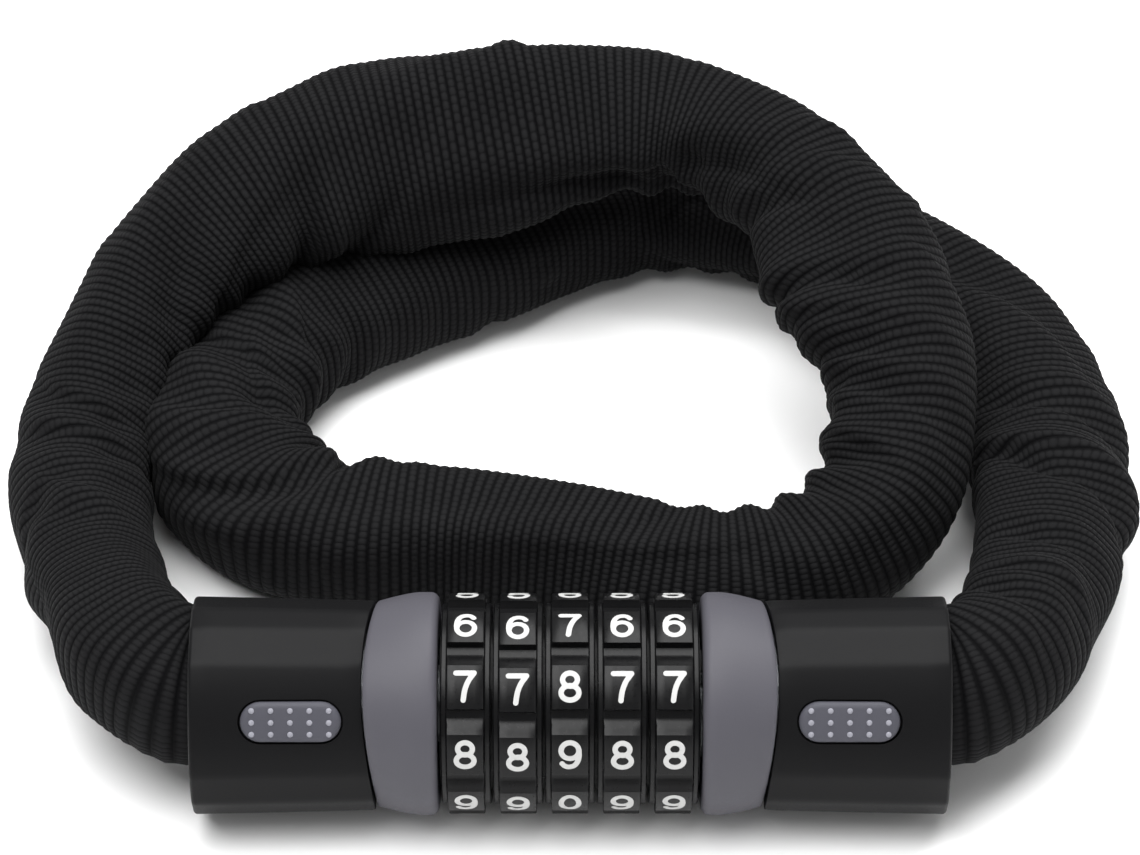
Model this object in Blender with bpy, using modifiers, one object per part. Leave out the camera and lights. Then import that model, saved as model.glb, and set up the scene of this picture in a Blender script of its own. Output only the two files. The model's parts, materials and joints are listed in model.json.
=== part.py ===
"""Combination chain lock: five number dials between two end caps, and a steel chain in a woven sleeve.

The lock's axis runs along X. It lies on the plane Z = 0 on its two trim rings, and the chain loops
behind it, towards +Y. Sizes are in metres. The body end is at -X, and the plug end, which carries the
locking bolt, is at +X and pulls out along +X. Angles about the axis start at -Y and turn up to +Z.
"""

from math import ceil, cos, pi, radians, sin, sqrt

import bmesh
import bpy
from mathutils import Matrix, Vector

# Driving dimensions, overall
LOCK_LENGTH = 0.109
RING_RADIUS = 0.0162  # the trim rings are the widest round part, and the lock lies on them
CLEARANCE = 0.0003  # between pieces that touch or run on each other
CUT_PAST = 0.003  # how far a cutter stands out of what it cuts

# Dials
DIAL_COUNT = 5
DIGIT_COUNT = 10
DIAL_PITCH = 0.00747
DIAL_RADIUS = 0.0160
DIAL_BAND_WIDTH = 0.00527  # the raised band that carries the numbers
DIAL_SHOULDER_DEPTH = 0.00145
DIAL_NOTCH_ANGLE = 13.0  # degrees, the trough between two numbers
DIAL_NOTCH_DEPTH = 0.0012
READ_ANGLE = 49.3  # degrees, where the row of the code is read
DIAL_SEGMENTS = 20

# Code rings, which turn with the dials
CODE_RING_RADIUS = 0.0098
CODE_GROOVE_DEPTH = 0.0013  # the free turning space of a lug, beyond the flange's bore
CODE_FLANGE_WIDTH = 0.0034
CLICK_GROOVE_DEPTH = 0.00045
CLICK_GROOVE_WIDTH = 0.0012

# Barrel that carries the dials, and the bolt inside it
BARREL_RADIUS = 0.0056
BARREL_BORE = 0.0031
BARREL_NOSE = 0.0029  # how far it stands out past the last dial
BOLT_RADIUS = 0.0028
LUG_WIDTH = 0.0024
LUG_LENGTH = 0.0022
LUG_REACH = 0.0010  # beyond the barrel, into a code ring's groove
BOLT_TIP_SETBACK = 0.0008  # the bolt's tip beyond the first dial
SPRING_WIRE = 0.0007
SPRING_TURNS = 5
CLICK_STRIP_THICKNESS = 0.0004
CLICK_STRIP_WIDTH = 0.0022
CLICK_STRIP_DEPTH = 0.0009  # under the barrel's surface
CLICK_BUMP_DEPTH = 0.00005  # under the barrel's surface
CLICK_BUMP_HALF = 0.0012  # half the length of one bump's foot
CLIP_THICKNESS = 0.0008
CLIP_RADIUS = 0.0078
CLIP_GROOVE_DEPTH = 0.0010
CLIP_MOUTH_ANGLE = 76.0  # degrees

# Trim rings
RING_END_RADIUS = 0.0149
RING_REACH = 0.02885  # mean distance of the seam with the cap from the middle
RING_BOW = 0.00085  # the seam bows outwards by this at the front and back
RING_FLANGE = 0.0014
RING_FLANGE_BORE = 0.0084
RING_EDGE = 0.0012  # rounding of the edge by the dials
RING_STRAIGHT = 0.0036  # from the ring's face to where its taper starts
RING_SEGMENTS = 36

# End caps: three crowned faces with three narrow facets between each pair
CAP_FACE_ANGLES = (30.0, 150.0, 270.0)
CAP_FACE_HALF_ANGLE = 31.5
CAP_FACET_ANGLE = 20.5
CAP_CROWN_RADIUS = 0.028
CAP_FACE_AT_RING = 0.01415
CAP_FACE_AT_END = 0.0148
CAP_CORNER_AT_RING = 0.01575
CAP_CORNER_AT_END = 0.01635
CAP_WALL = 0.0018
CAP_CHAMFER = 0.0006
MOUTH_RADIUS = 0.0100

# Cores inside the caps
CORE_RADIUS = 0.0120
CORE_EDGE = 0.0006  # chamfer at both ends
CHAIN_PIN_INSET = 0.0145  # from the cap's end
CHAIN_SLOT_ROOM = 0.0016  # beside the first link, which leaves at a slant
CORE_WEB = 0.0015  # the wall between the chain's slot and the bores from the dial side
CROSS_PIN_RADIUS = 0.0012
COVER_PIN_RADIUS = 0.0010
COVER_PIN_INSET = 0.0065
COVER_PIN_ANGLE = 210.0
COVER_PIN_SEAT = 0.0090  # how near the axis its hole reaches

# Grip pads, one on the front face of each cap
PAD_LENGTH = 0.01445
PAD_WIDTH = 0.00585
PAD_CENTRE = 0.03985
PAD_TOP = 0.0149
PAD_FLOOR = 0.0134

# Chain
LINK_WIRE = 0.0035
LINK_ROOM = 0.0026  # inside a link, beside the wire of its neighbour
LINK_LENGTH = 0.0346
LINK_PLAY = 0.0010  # the gap between the wires of two links

# Sleeve
SLEEVE_RADIUS = 0.0110
SLEEVE_NECK_RADIUS = 0.0093
SLEEVE_WALL = 0.0008
SLEEVE_TUCK = 0.0009  # how far the sleeve's end is tucked into the cap
SLEEVE_NECK_LENGTH = 0.0045
SLEEVE_STATION = 0.0115  # spacing of the points along the tube
SLEEVE_SPLIT = 0.722  # share of the route that belongs to the body end
SLEEVE_SPLIT_GAP = 0.0014

# The sleeve's route from the body end to the plug end, as chosen. Its ends follow the caps.
ROUTE_CAP_END = 0.0545
ROUTE = (
    (-0.0580, 0.0005, 0.0163), (-0.0636, 0.0036, 0.0162), (-0.0692, 0.0105, 0.0156),
    (-0.0731, 0.0205, 0.0144),
    (-0.0758, 0.0340, 0.0126), (-0.0772, 0.0520, 0.0117), (-0.0778, 0.0710, 0.0130),
    (-0.0746, 0.0900, 0.0190), (-0.0660, 0.1040, 0.0265), (-0.0520, 0.1130, 0.0325),
    (-0.0350, 0.1180, 0.0355), (-0.0150, 0.1200, 0.0365), (0.0050, 0.1225, 0.0368),
    (0.0210, 0.1210, 0.0366), (0.0355, 0.1120, 0.0358), (0.0460, 0.0960, 0.0336),
    (0.0515, 0.0780, 0.0292), (0.0522, 0.0610, 0.0225), (0.0480, 0.0470, 0.0160),
    (0.0370, 0.0385, 0.0122), (0.0220, 0.0370, 0.0113), (0.0040, 0.0405, 0.0112),
    (-0.0150, 0.0440, 0.0112), (-0.0320, 0.0470, 0.0112), (-0.0455, 0.0545, 0.0112),
    (-0.0530, 0.0680, 0.0112), (-0.0525, 0.0840, 0.0112), (-0.0445, 0.0980, 0.0112),
    (-0.0315, 0.1080, 0.0112), (-0.0155, 0.1165, 0.0112), (0.0000, 0.1255, 0.0112),
    (0.0150, 0.1315, 0.0112), (0.0300, 0.1300, 0.0112), (0.0435, 0.1210, 0.0112),
    (0.0560, 0.1075, 0.0112), (0.0665, 0.0920, 0.0112), (0.0735, 0.0745, 0.0112),
    (0.0760, 0.0560, 0.0115), (0.0752, 0.0380, 0.0128), (0.0725, 0.0210, 0.0145),
    (0.0690, 0.0105, 0.0156), (0.0636, 0.0036, 0.0162), (0.0580, 0.0005, 0.0163),
)

# Sizes that follow
END_X = LOCK_LENGTH / 2
AXIS_HEIGHT = RING_RADIUS
STACK_HALF = DIAL_COUNT * DIAL_PITCH / 2
DIAL_WIDTH = DIAL_PITCH - CLEARANCE
RING_FACE = STACK_HALF + CLEARANCE
CORE_FACE = RING_FACE + RING_FLANGE + CLEARANCE
CORE_END = END_X - CAP_WALL - CLEARANCE
CHAIN_PIN_X = END_X - CHAIN_PIN_INSET
CODE_BORE = BARREL_RADIUS + CLEARANCE
BARREL_HOLE = BARREL_RADIUS + CLEARANCE
CODE_GROOVE = CODE_BORE + CODE_GROOVE_DEPTH
LUG_HEIGHT = BARREL_RADIUS + LUG_REACH
CLICK_STRIP_RADIUS = BARREL_RADIUS - CLICK_STRIP_DEPTH
CLICK_BUMP_RADIUS = BARREL_RADIUS - CLICK_BUMP_DEPTH
CLIP_GROOVE_RADIUS = BARREL_RADIUS - CLIP_GROOVE_DEPTH
LINK_WIDTH = 3 * LINK_WIRE + LINK_ROOM
# The links alternate, and each turns on the end wires of the upright ones, or on the chain's pin.
CHAIN_PIN_RADIUS = LINK_WIRE / 2
UPRIGHT_CHORD = LINK_LENGTH - LINK_WIRE
FLAT_CHORD = LINK_LENGTH - 3 * LINK_WIRE - 2 * LINK_PLAY
LINK_REACH = (LINK_LENGTH - FLAT_CHORD) / 2  # how far a flat link reaches past its joints
SLOT_DEPTH_X = CHAIN_PIN_X - LINK_REACH - CLEARANCE
BARREL_SEAT = SLOT_DEPTH_X - CORE_WEB - CLEARANCE
BOLT_ROOT = BARREL_SEAT
PAD_ANGLE = CAP_FACE_ANGLES[0]


def radial(angle):
    """The unit vector from the axis at this angle in degrees."""
    return Vector((0, -cos(radians(angle)), sin(radians(angle))))


def on_axis(x, radius=0.0, angle=0.0):
    """A point at this radius and angle about the lock's axis."""
    return Vector((x, 0, AXIS_HEIGHT)) + radial(angle) * radius


def material(name, colour, roughness, metallic=0.0):
    made = bpy.data.materials.new(name)
    made.use_nodes = True
    shader = made.node_tree.nodes["Principled BSDF"]
    shader.inputs["Base Color"].default_value = (*colour, 1)
    shader.inputs["Roughness"].default_value = roughness
    shader.inputs["Metallic"].default_value = metallic
    return made


def add_object(name, data, finish, collection=None):
    made = bpy.data.objects.new(name, data)
    (collection or parts).objects.link(made)
    if finish:
        data.materials.append(finish)
    return made


def as_cutter(obj):
    """Moves a shape to the cutters, which aren't part of the lock."""
    for collection in list(obj.users_collection):
        collection.objects.unlink(obj)
    cutters.objects.link(obj)
    obj.hide_render = True
    obj.display_type = "WIRE"
    return obj


def boolean(target, other, operation="DIFFERENCE"):
    modifier = target.modifiers.new(other.name, "BOOLEAN")
    modifier.operation = operation
    modifier.solver = "EXACT"
    modifier.object = other
    return target


def meshed(obj):
    """The object as a plain mesh with its caps welded and its faces pointing out."""
    bpy.context.view_layer.update()
    graph = bpy.context.evaluated_depsgraph_get()
    mesh = bpy.data.meshes.new_from_object(obj.evaluated_get(graph))
    shape = bmesh.new()
    shape.from_mesh(mesh)
    bmesh.ops.remove_doubles(shape, verts=shape.verts, dist=1e-6)
    bmesh.ops.recalc_face_normals(shape, faces=shape.faces)
    shape.to_mesh(mesh)
    shape.free()
    name, finish = obj.name, obj.active_material
    collection, place = obj.users_collection[0], obj.matrix_world.copy()
    bpy.data.objects.remove(obj)
    made = bpy.data.objects.new(name, mesh)
    made.matrix_world = place
    collection.objects.link(made)
    if finish and not mesh.materials:
        mesh.materials.append(finish)
    return made


def turned(name, profile, finish, segments, x=0.0):
    """A shape turned about the lock's axis from (x, radius) points, closed unless it ends on the axis."""
    mesh = bpy.data.meshes.new(name)
    closed = all(radius > 0 for _, radius in profile)
    count = len(profile)
    edges = [(i, (i + 1) % count) for i in range(count if closed else count - 1)]
    # Half a step of turn puts a flat of the polygon underneath.
    turn = Matrix.Rotation(pi / segments, 3, "X")
    mesh.from_pydata([turn @ Vector((px, 0, -radius)) for px, radius in profile], edges, [])
    made = add_object(name, mesh, finish)
    made.location = on_axis(x)
    screw = made.modifiers.new("Turn", "SCREW")
    screw.axis = "X"
    screw.steps = screw.render_steps = segments
    screw.use_merge_vertices = True
    screw.merge_threshold = 1e-6
    return meshed(made)


def box(name, low, high, finish=None):
    """A box between two corners, placed by its centre."""
    size = [high[i] - low[i] for i in range(3)]
    shape = bmesh.new()
    bmesh.ops.create_cube(shape, size=1, matrix=Matrix.Diagonal((*size, 1)))
    mesh = bpy.data.meshes.new(name)
    shape.to_mesh(mesh)
    shape.free()
    made = add_object(name, mesh, finish)
    made.location = [(low[i] + high[i]) / 2 for i in range(3)]
    return made


def pin(name, start, end, radius, finish, segments=12):
    """A straight round pin or hole between two points."""
    direction = Vector(end) - Vector(start)
    shape = bmesh.new()
    bmesh.ops.create_cone(
        shape, cap_ends=True, segments=segments, radius1=radius, radius2=radius, depth=direction.length
    )
    mesh = bpy.data.meshes.new(name)
    shape.to_mesh(mesh)
    shape.free()
    made = add_object(name, mesh, finish)
    made.rotation_mode = "QUATERNION"
    made.rotation_quaternion = direction.to_track_quat("Z", "Y")
    made.location = (Vector(start) + Vector(end)) / 2
    return made


def outline(name, loops, thickness, finish):
    """A flat outline extruded by half its thickness each way; later loops are holes in the first."""
    curve = bpy.data.curves.new(name, "CURVE")
    curve.dimensions = "2D"
    curve.fill_mode = "BOTH"
    curve.extrude = thickness / 2
    for points in loops:
        spline = curve.splines.new("POLY")
        spline.points.add(len(points) - 1)
        for point, (x, y) in zip(spline.points, points):
            point.co = (x, y, 0, 1)
        spline.use_cyclic_u = True
    return meshed(add_object(name, curve, finish))


def stadium(length, width, steps=6):
    """A slot-shaped outline, with a half circle at each end."""
    radius, straight = width / 2, (length - width) / 2
    points = []
    for side in (1, -1):
        for i in range(steps + 1):
            turn = pi * (i / steps - 0.5)
            points.append((side * (straight + radius * cos(turn)), side * radius * sin(turn)))
    return points


def arc(radius, start, end, steps):
    """Points from one angle in degrees to the other."""
    angles = [radians(start + (end - start) * i / steps) for i in range(steps + 1)]
    return [(radius * cos(angle), radius * sin(angle)) for angle in angles]


def joined(name, pieces):
    """One cutter mesh out of several separate closed shapes."""
    shape = bmesh.new()
    for piece in pieces:
        bpy.context.view_layer.update()
        start = len(shape.verts)
        shape.from_mesh(piece.data)
        shape.verts.ensure_lookup_table()
        bmesh.ops.transform(shape, matrix=piece.matrix_world, verts=shape.verts[start:])
        bpy.data.objects.remove(piece)
    mesh = bpy.data.meshes.new(name)
    shape.to_mesh(mesh)
    shape.free()
    return add_object(name, mesh, None)


def lofted(name, loops, finish):
    """A closed shell through loops of points: each loop is joined to the next, and the last to the first."""
    shape = bmesh.new()
    rows = [[shape.verts.new(point) for point in loop] for loop in loops]
    for row, following in zip(rows, rows[1:] + rows[:1]):
        for i in range(len(row)):
            j = (i + 1) % len(row)
            shape.faces.new((row[i], row[j], following[j], following[i]))
    bmesh.ops.recalc_face_normals(shape, faces=shape.faces)
    mesh = bpy.data.meshes.new(name)
    shape.to_mesh(mesh)
    shape.free()
    return add_object(name, mesh, finish)


def dial_x(index):
    return (index - (DIAL_COUNT - 1) / 2) * DIAL_PITCH


def seam_x(angle, offset=0.0):
    """Distance from the middle of the seam between trim ring and cap."""
    return RING_REACH + RING_BOW * cos(radians(2 * (angle - READ_ANGLE))) + offset


def cap_section(face, corner):
    """Angle and radius of each corner of a cap's section: crowned faces, and facets between them."""
    back = CAP_CROWN_RADIUS - face
    section = []
    for middle in CAP_FACE_ANGLES:
        for i in range(-4, 5):
            off = CAP_FACE_HALF_ANGLE * i / 4
            crown = sqrt(CAP_CROWN_RADIUS**2 - (back * sin(radians(off))) ** 2)
            section.append((middle + off, crown - back * cos(radians(off))))
        for i in (1, -1):
            facet_edge = CAP_FACE_HALF_ANGLE + CAP_FACET_ANGLE
            section.append((middle + (facet_edge if i == 1 else 120 - facet_edge), corner))
    return section


def make_dials():
    """The number rings, with their notches, and the code rings inside them."""
    half, band = DIAL_WIDTH / 2, DIAL_BAND_WIDTH / 2
    shoulder = DIAL_RADIUS - DIAL_SHOULDER_DEPTH
    bore = CODE_RING_RADIUS + CLEARANCE
    ring = [(-half, bore), (-half, shoulder), (-band, shoulder), (-band, DIAL_RADIUS),
            (band, DIAL_RADIUS), (band, shoulder), (half, shoulder), (half, bore)]
    step = 360 / DIGIT_COUNT
    notch_width = 2 * DIAL_RADIUS * sin(radians(DIAL_NOTCH_ANGLE / 2))
    notches, grooves = [], []
    for i in range(DIGIT_COUNT):
        notches.append(bar_about_axis(
            "notch", STACK_HALF + CUT_PAST, notch_width,
            DIAL_RADIUS - DIAL_NOTCH_DEPTH, DIAL_RADIUS + CUT_PAST, READ_ANGLE + step * (i + 0.5),
        ))
        grooves.append(bar_about_axis(
            "groove", STACK_HALF + CUT_PAST, CLICK_GROOVE_WIDTH,
            CODE_BORE - CLICK_GROOVE_DEPTH, CODE_BORE + CLICK_GROOVE_DEPTH, -90 + step * i,
        ))
    notch_cutter = as_cutter(joined("dial_notches", notches))
    groove_cutter = as_cutter(joined("click_grooves", grooves))
    lug_cutter = as_cutter(bar_about_axis(
        "lug_notches", STACK_HALF + CUT_PAST, LUG_WIDTH + 4 * CLEARANCE, 0.0, CODE_GROOVE, 90,
    ))
    flange = half - CODE_FLANGE_WIDTH
    code = [(-half, CODE_GROOVE), (-half, CODE_RING_RADIUS), (half, CODE_RING_RADIUS),
            (half, CODE_BORE), (flange, CODE_BORE), (flange, CODE_GROOVE)]
    for i in range(DIAL_COUNT):
        number_ring = turned(f"dial_{i + 1}", ring, dial_plastic, DIAL_SEGMENTS, dial_x(i))
        boolean(number_ring, notch_cutter)
        code_ring = turned(f"code_ring_{i + 1}", code, brass, DIAL_SEGMENTS, dial_x(i))
        boolean(code_ring, groove_cutter)
        boolean(code_ring, lug_cutter)


def bar_about_axis(name, half_length, width, inner, outer, angle, x=0.0):
    """A bar along X that spans two radii at one angle about the lock's axis."""
    bar = box(name, (-half_length, -width / 2, inner), (half_length, width / 2, outer))
    out = radial(angle)
    across = out.cross(Vector((1, 0, 0)))
    turn = Matrix((Vector((1, 0, 0)), across, out)).transposed().to_4x4()
    bar.matrix_world = Matrix.Translation(on_axis(x, (inner + outer) / 2, angle)) @ turn
    return bar


def make_barrel():
    """The slotted barrel, its click spring, its retaining clip and the ejector spring in its bore."""
    nose = STACK_HALF + BARREL_NOSE
    clip_start = STACK_HALF + CLEARANCE
    groove_end = clip_start + CLIP_THICKNESS + CLEARANCE
    profile = [(-BARREL_SEAT, BARREL_BORE), (-BARREL_SEAT, BARREL_RADIUS),
               (clip_start - CLEARANCE / 2, BARREL_RADIUS), (clip_start - CLEARANCE / 2, CLIP_GROOVE_RADIUS),
               (groove_end, CLIP_GROOVE_RADIUS), (groove_end, BARREL_RADIUS), (nose, BARREL_RADIUS),
               (nose, BARREL_BORE)]
    barrel = turned("dial_barrel", profile, zinc, 20)
    slot_start = -STACK_HALF + CLEARANCE
    slot = box("lug_slot",
               (slot_start, -LUG_WIDTH / 2 - CLEARANCE, AXIS_HEIGHT),
               (nose + CUT_PAST, LUG_WIDTH / 2 + CLEARANCE, AXIS_HEIGHT + BARREL_RADIUS + CUT_PAST))
    boolean(barrel, as_cutter(slot))
    strip_half = STACK_HALF - CLEARANCE
    trough = box("click_trough",
                 (-strip_half, -CLICK_STRIP_WIDTH / 2 - CLEARANCE, AXIS_HEIGHT - BARREL_RADIUS - CUT_PAST),
                 (strip_half, CLICK_STRIP_WIDTH / 2 + CLEARANCE,
                  AXIS_HEIGHT - CLICK_STRIP_RADIUS + CLICK_STRIP_THICKNESS + CLEARANCE))
    boolean(barrel, as_cutter(trough))
    pin_x = -(CORE_FACE + BARREL_SEAT) / 2
    hole = pin("barrel_pin_hole", on_axis(pin_x, BARREL_BORE + CLEARANCE, 90),
               on_axis(pin_x, CORE_RADIUS, 90), CROSS_PIN_RADIUS + CLEARANCE, None)
    boolean(barrel, as_cutter(hole))
    pin("barrel_pin", on_axis(pin_x, BARREL_BORE + 2 * CLEARANCE, 90),
        on_axis(pin_x, CORE_RADIUS - CLEARANCE, 90), CROSS_PIN_RADIUS, steel)
    make_click_spring(strip_half - CLEARANCE)
    make_clip(clip_start)
    make_ejector_spring()


def make_click_spring(half):
    """A leaf strip in the barrel's underside with one bump below each code ring's flange."""
    flange_middle = (DIAL_WIDTH - CODE_FLANGE_WIDTH) / 2
    low = [(-half, CLICK_STRIP_RADIUS)]
    for i in range(DIAL_COUNT):
        middle = dial_x(i) + flange_middle
        low.append((middle - CLICK_BUMP_HALF, CLICK_STRIP_RADIUS))
        low.append((middle, CLICK_BUMP_RADIUS))
        low.append((middle + CLICK_BUMP_HALF, CLICK_STRIP_RADIUS))
    low.append((half, CLICK_STRIP_RADIUS))
    edge = [(x, -radius) for x, radius in low]
    edge += [(x, -radius + CLICK_STRIP_THICKNESS) for x, radius in reversed(low)]
    strip = outline("click_spring", [edge], CLICK_STRIP_WIDTH, steel)
    strip.rotation_euler = (pi / 2, 0, 0)
    strip.location = on_axis(0)


def make_clip(x):
    """The retaining clip, open at the top so that the bolt's lugs can pass."""
    inner = CLIP_GROOVE_RADIUS + CLEARANCE
    start, end = 90 + CLIP_MOUTH_ANGLE / 2, 450 - CLIP_MOUTH_ANGLE / 2
    loop = arc(CLIP_RADIUS, start, end, 12) + arc(inner, end, start, 12)
    clip = outline("retaining_clip", [loop], CLIP_THICKNESS, steel)
    clip.rotation_euler = (pi / 2, 0, pi / 2)
    clip.location = on_axis(x + CLIP_THICKNESS / 2)


def make_ejector_spring():
    """A coil spring between the bore's floor and the bolt's tip."""
    radius = BARREL_BORE - CLEARANCE / 2 - SPRING_WIRE
    start = -BARREL_SEAT + SPRING_WIRE / 2
    end = -STACK_HALF - BOLT_TIP_SETBACK - CLEARANCE - SPRING_WIRE / 2
    per_turn = 9
    curve = bpy.data.curves.new("ejector_spring", "CURVE")
    curve.dimensions = "3D"
    curve.bevel_depth = SPRING_WIRE / 2
    curve.bevel_resolution = 0
    curve.use_fill_caps = True
    spline = curve.splines.new("POLY")
    count = SPRING_TURNS * per_turn
    spline.points.add(count)
    for i, point in enumerate(spline.points):
        turn = 2 * pi * i / per_turn
        point.co = (start + (end - start) * i / count, radius * cos(turn), radius * sin(turn), 1)
    made = add_object("ejector_spring", curve, steel)
    made.location = on_axis(0)


def make_bolt():
    """The locking bolt with one lug for each dial, fixed in the plug's core by a cross pin."""
    tip = -STACK_HALF - BOLT_TIP_SETBACK
    chamfer = BOLT_RADIUS / 4
    profile = [(tip, 0), (tip, BOLT_RADIUS - chamfer), (tip + chamfer, BOLT_RADIUS),
               (BOLT_ROOT, BOLT_RADIUS), (BOLT_ROOT, 0)]
    bolt = turned("locking_bolt", profile, steel, 16)
    lugs = []
    groove_middle = -CODE_FLANGE_WIDTH / 2
    for i in range(DIAL_COUNT):
        x = dial_x(i) + groove_middle
        lugs.append(box("lug", (x - LUG_LENGTH / 2, -LUG_WIDTH / 2, AXIS_HEIGHT),
                        (x + LUG_LENGTH / 2, LUG_WIDTH / 2, AXIS_HEIGHT + LUG_HEIGHT)))
    boolean(bolt, as_cutter(joined("bolt_lugs", lugs)), "UNION")
    x = bolt_pin_x()
    hole = pin("bolt_hole", on_axis(x, CORE_RADIUS + CUT_PAST, 0), on_axis(x, CORE_RADIUS + CUT_PAST, 180),
               CROSS_PIN_RADIUS + CLEARANCE, None)
    boolean(bolt, as_cutter(hole))
    pin("bolt_pin", on_axis(x, CORE_RADIUS - 2 * CLEARANCE, 0), on_axis(x, CORE_RADIUS - 2 * CLEARANCE, 180),
        CROSS_PIN_RADIUS, steel)
    return hole


def bolt_pin_x():
    return (CORE_FACE + BOLT_ROOT) / 2


def make_core(name, side, bores):
    """A die-cast core: bores from the dial side, and a slot with a cross pin for the chain's first link."""
    profile = [(CORE_FACE, 0), (CORE_FACE, CORE_RADIUS - CORE_EDGE), (CORE_FACE + CORE_EDGE, CORE_RADIUS),
               (CORE_END - CORE_EDGE, CORE_RADIUS), (CORE_END, CORE_RADIUS - CORE_EDGE), (CORE_END, 0)]
    core = turned(name, [(side * x, radius) for x, radius in profile], zinc, 24)
    for i, (radius, depth_x) in enumerate(bores):
        hole = pin(f"{name}_bore_{i + 1}", on_axis(side * (CORE_FACE - CUT_PAST)), on_axis(side * depth_x),
                   radius, None, 20)
        boolean(core, as_cutter(hole))
    half_width = LINK_WIDTH / 2 + CHAIN_SLOT_ROOM
    half_height = LINK_WIRE / 2 + 2 * CLEARANCE
    ends = sorted((side * SLOT_DEPTH_X, side * (CORE_END + CUT_PAST)))
    slot = box(f"{name}_slot", (ends[0], -half_width, AXIS_HEIGHT - half_height),
               (ends[1], half_width, AXIS_HEIGHT + half_height))
    boolean(core, as_cutter(slot))
    x, reach = side * CHAIN_PIN_X, CORE_RADIUS + CUT_PAST
    hole = pin(f"{name}_pin_hole", on_axis(x, reach, -90), on_axis(x, reach, 90),
               CHAIN_PIN_RADIUS + CLEARANCE, None)
    boolean(core, as_cutter(hole))
    reach = CORE_RADIUS - 2 * CLEARANCE
    pin(name.replace("core", "chain_pin"), on_axis(x, reach, -90), on_axis(x, reach, 90),
        CHAIN_PIN_RADIUS, steel)
    return core


def make_trim_ring(name, side):
    """The grey ring between dials and cap, with a flange over the core's face and a bowed outer seam."""
    angles = [360 * (i + 0.5) / RING_SEGMENTS for i in range(RING_SEGMENTS)]
    flat = 1 / cos(pi / RING_SEGMENTS)  # corners stand out so that the flats lie at the stated radius
    bore = CORE_RADIUS + CLEARANCE
    corner = RING_RADIUS - RING_EDGE
    straight = RING_FACE + RING_STRAIGHT
    middle = RING_EDGE * (1 - sqrt(0.5))  # the rounding's middle, in from both its ends

    def loop(radius, x=None):
        return [on_axis(side * (seam_x(a, -CLEARANCE / 2) if x is None else x), radius * flat, a) for a in angles]

    loops = [loop(RING_END_RADIUS), loop(RING_RADIUS, straight), loop(RING_RADIUS, RING_FACE + RING_EDGE),
             loop(RING_RADIUS - middle, RING_FACE + middle), loop(corner, RING_FACE),
             loop(RING_FLANGE_BORE, RING_FACE), loop(RING_FLANGE_BORE, RING_FACE + RING_FLANGE),
             loop(bore, RING_FACE + RING_FLANGE), loop(bore)]
    return lofted(name, loops, grey_plastic)


def make_cover(name, side):
    """The cap's shell, from the seam to the end wall with the chain's mouth, and a recess for the pad."""
    at_ring = cap_section(CAP_FACE_AT_RING, CAP_CORNER_AT_RING)
    at_end = cap_section(CAP_FACE_AT_END, CAP_CORNER_AT_END)

    def loop(section, x=None, inset=0.0):
        return [on_axis(side * (seam_x(a, CLEARANCE / 2) if x is None else x), r - inset, a) for a, r in section]

    mouth = [(a, MOUTH_RADIUS) for a, _ in at_end]
    loops = [loop(at_ring), loop(at_end, END_X - CAP_CHAMFER), loop(at_end, END_X, CAP_CHAMFER),
             loop(mouth, END_X), loop(mouth, END_X - CAP_WALL), loop(at_end, END_X - CAP_WALL, CAP_WALL),
             loop(at_ring, None, CAP_WALL)]
    cover = lofted(name, loops, cap_plastic)
    recess = pad_shape(f"{name}_recess", side, 2 * CLEARANCE, PAD_FLOOR, PAD_TOP + CUT_PAST, None)
    boolean(cover, as_cutter(recess))
    return cover


def pad_shape(name, side, margin, inner, outer, finish):
    """A slot-shaped block at the pad's place, between two distances from the axis."""
    block = outline(name, [stadium(PAD_LENGTH + margin, PAD_WIDTH + margin)], outer - inner, finish)
    out = radial(PAD_ANGLE)
    turn = Matrix((Vector((1, 0, 0)), out.cross(Vector((1, 0, 0))), out)).transposed().to_4x4()
    block.matrix_world = Matrix.Translation(on_axis(side * PAD_CENTRE, (inner + outer) / 2, PAD_ANGLE)) @ turn
    return block


def make_end(name, side, bores, extra_holes=()):
    """All the pieces of one end: core, chain pin, trim ring, cover, cover pin and grip pad."""
    core = make_core(f"{name}_core", side, bores)
    for hole in extra_holes:
        boolean(core, hole)
    make_trim_ring(f"{name}_trim_ring", side)
    cover = make_cover(f"{name}_cover", side)
    x = side * (END_X - COVER_PIN_INSET)
    hole = as_cutter(pin(f"{name}_cover_pin_hole", on_axis(x, COVER_PIN_SEAT, COVER_PIN_ANGLE),
                         on_axis(x, RING_RADIUS + CUT_PAST, COVER_PIN_ANGLE),
                         COVER_PIN_RADIUS + CLEARANCE, None))
    boolean(core, hole)
    boolean(cover, hole)
    pin(f"{name}_cover_pin", on_axis(x, COVER_PIN_SEAT + CLEARANCE, COVER_PIN_ANGLE),
        on_axis(x, CAP_CORNER_AT_RING - CLEARANCE, COVER_PIN_ANGLE), COVER_PIN_RADIUS, steel)
    pad_shape(f"{name}_grip_pad", side, 0.0, PAD_FLOOR + CLEARANCE, PAD_TOP, pad_rubber)


def route_points():
    """The route with its ends on the caps: the points beside the lock move with its length."""
    longer = END_X - ROUTE_CAP_END
    points = [Vector((-CHAIN_PIN_X, 0, AXIS_HEIGHT)), Vector((-END_X + SLEEVE_TUCK, 0, AXIS_HEIGHT))]
    for x, y, z in ROUTE:
        points.append(Vector((x + longer * max(-1, min(1, x / ROUTE_CAP_END)), y, z)))
    return points + [Vector((END_X - SLEEVE_TUCK, 0, AXIS_HEIGHT)), Vector((CHAIN_PIN_X, 0, AXIS_HEIGHT))]


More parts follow.
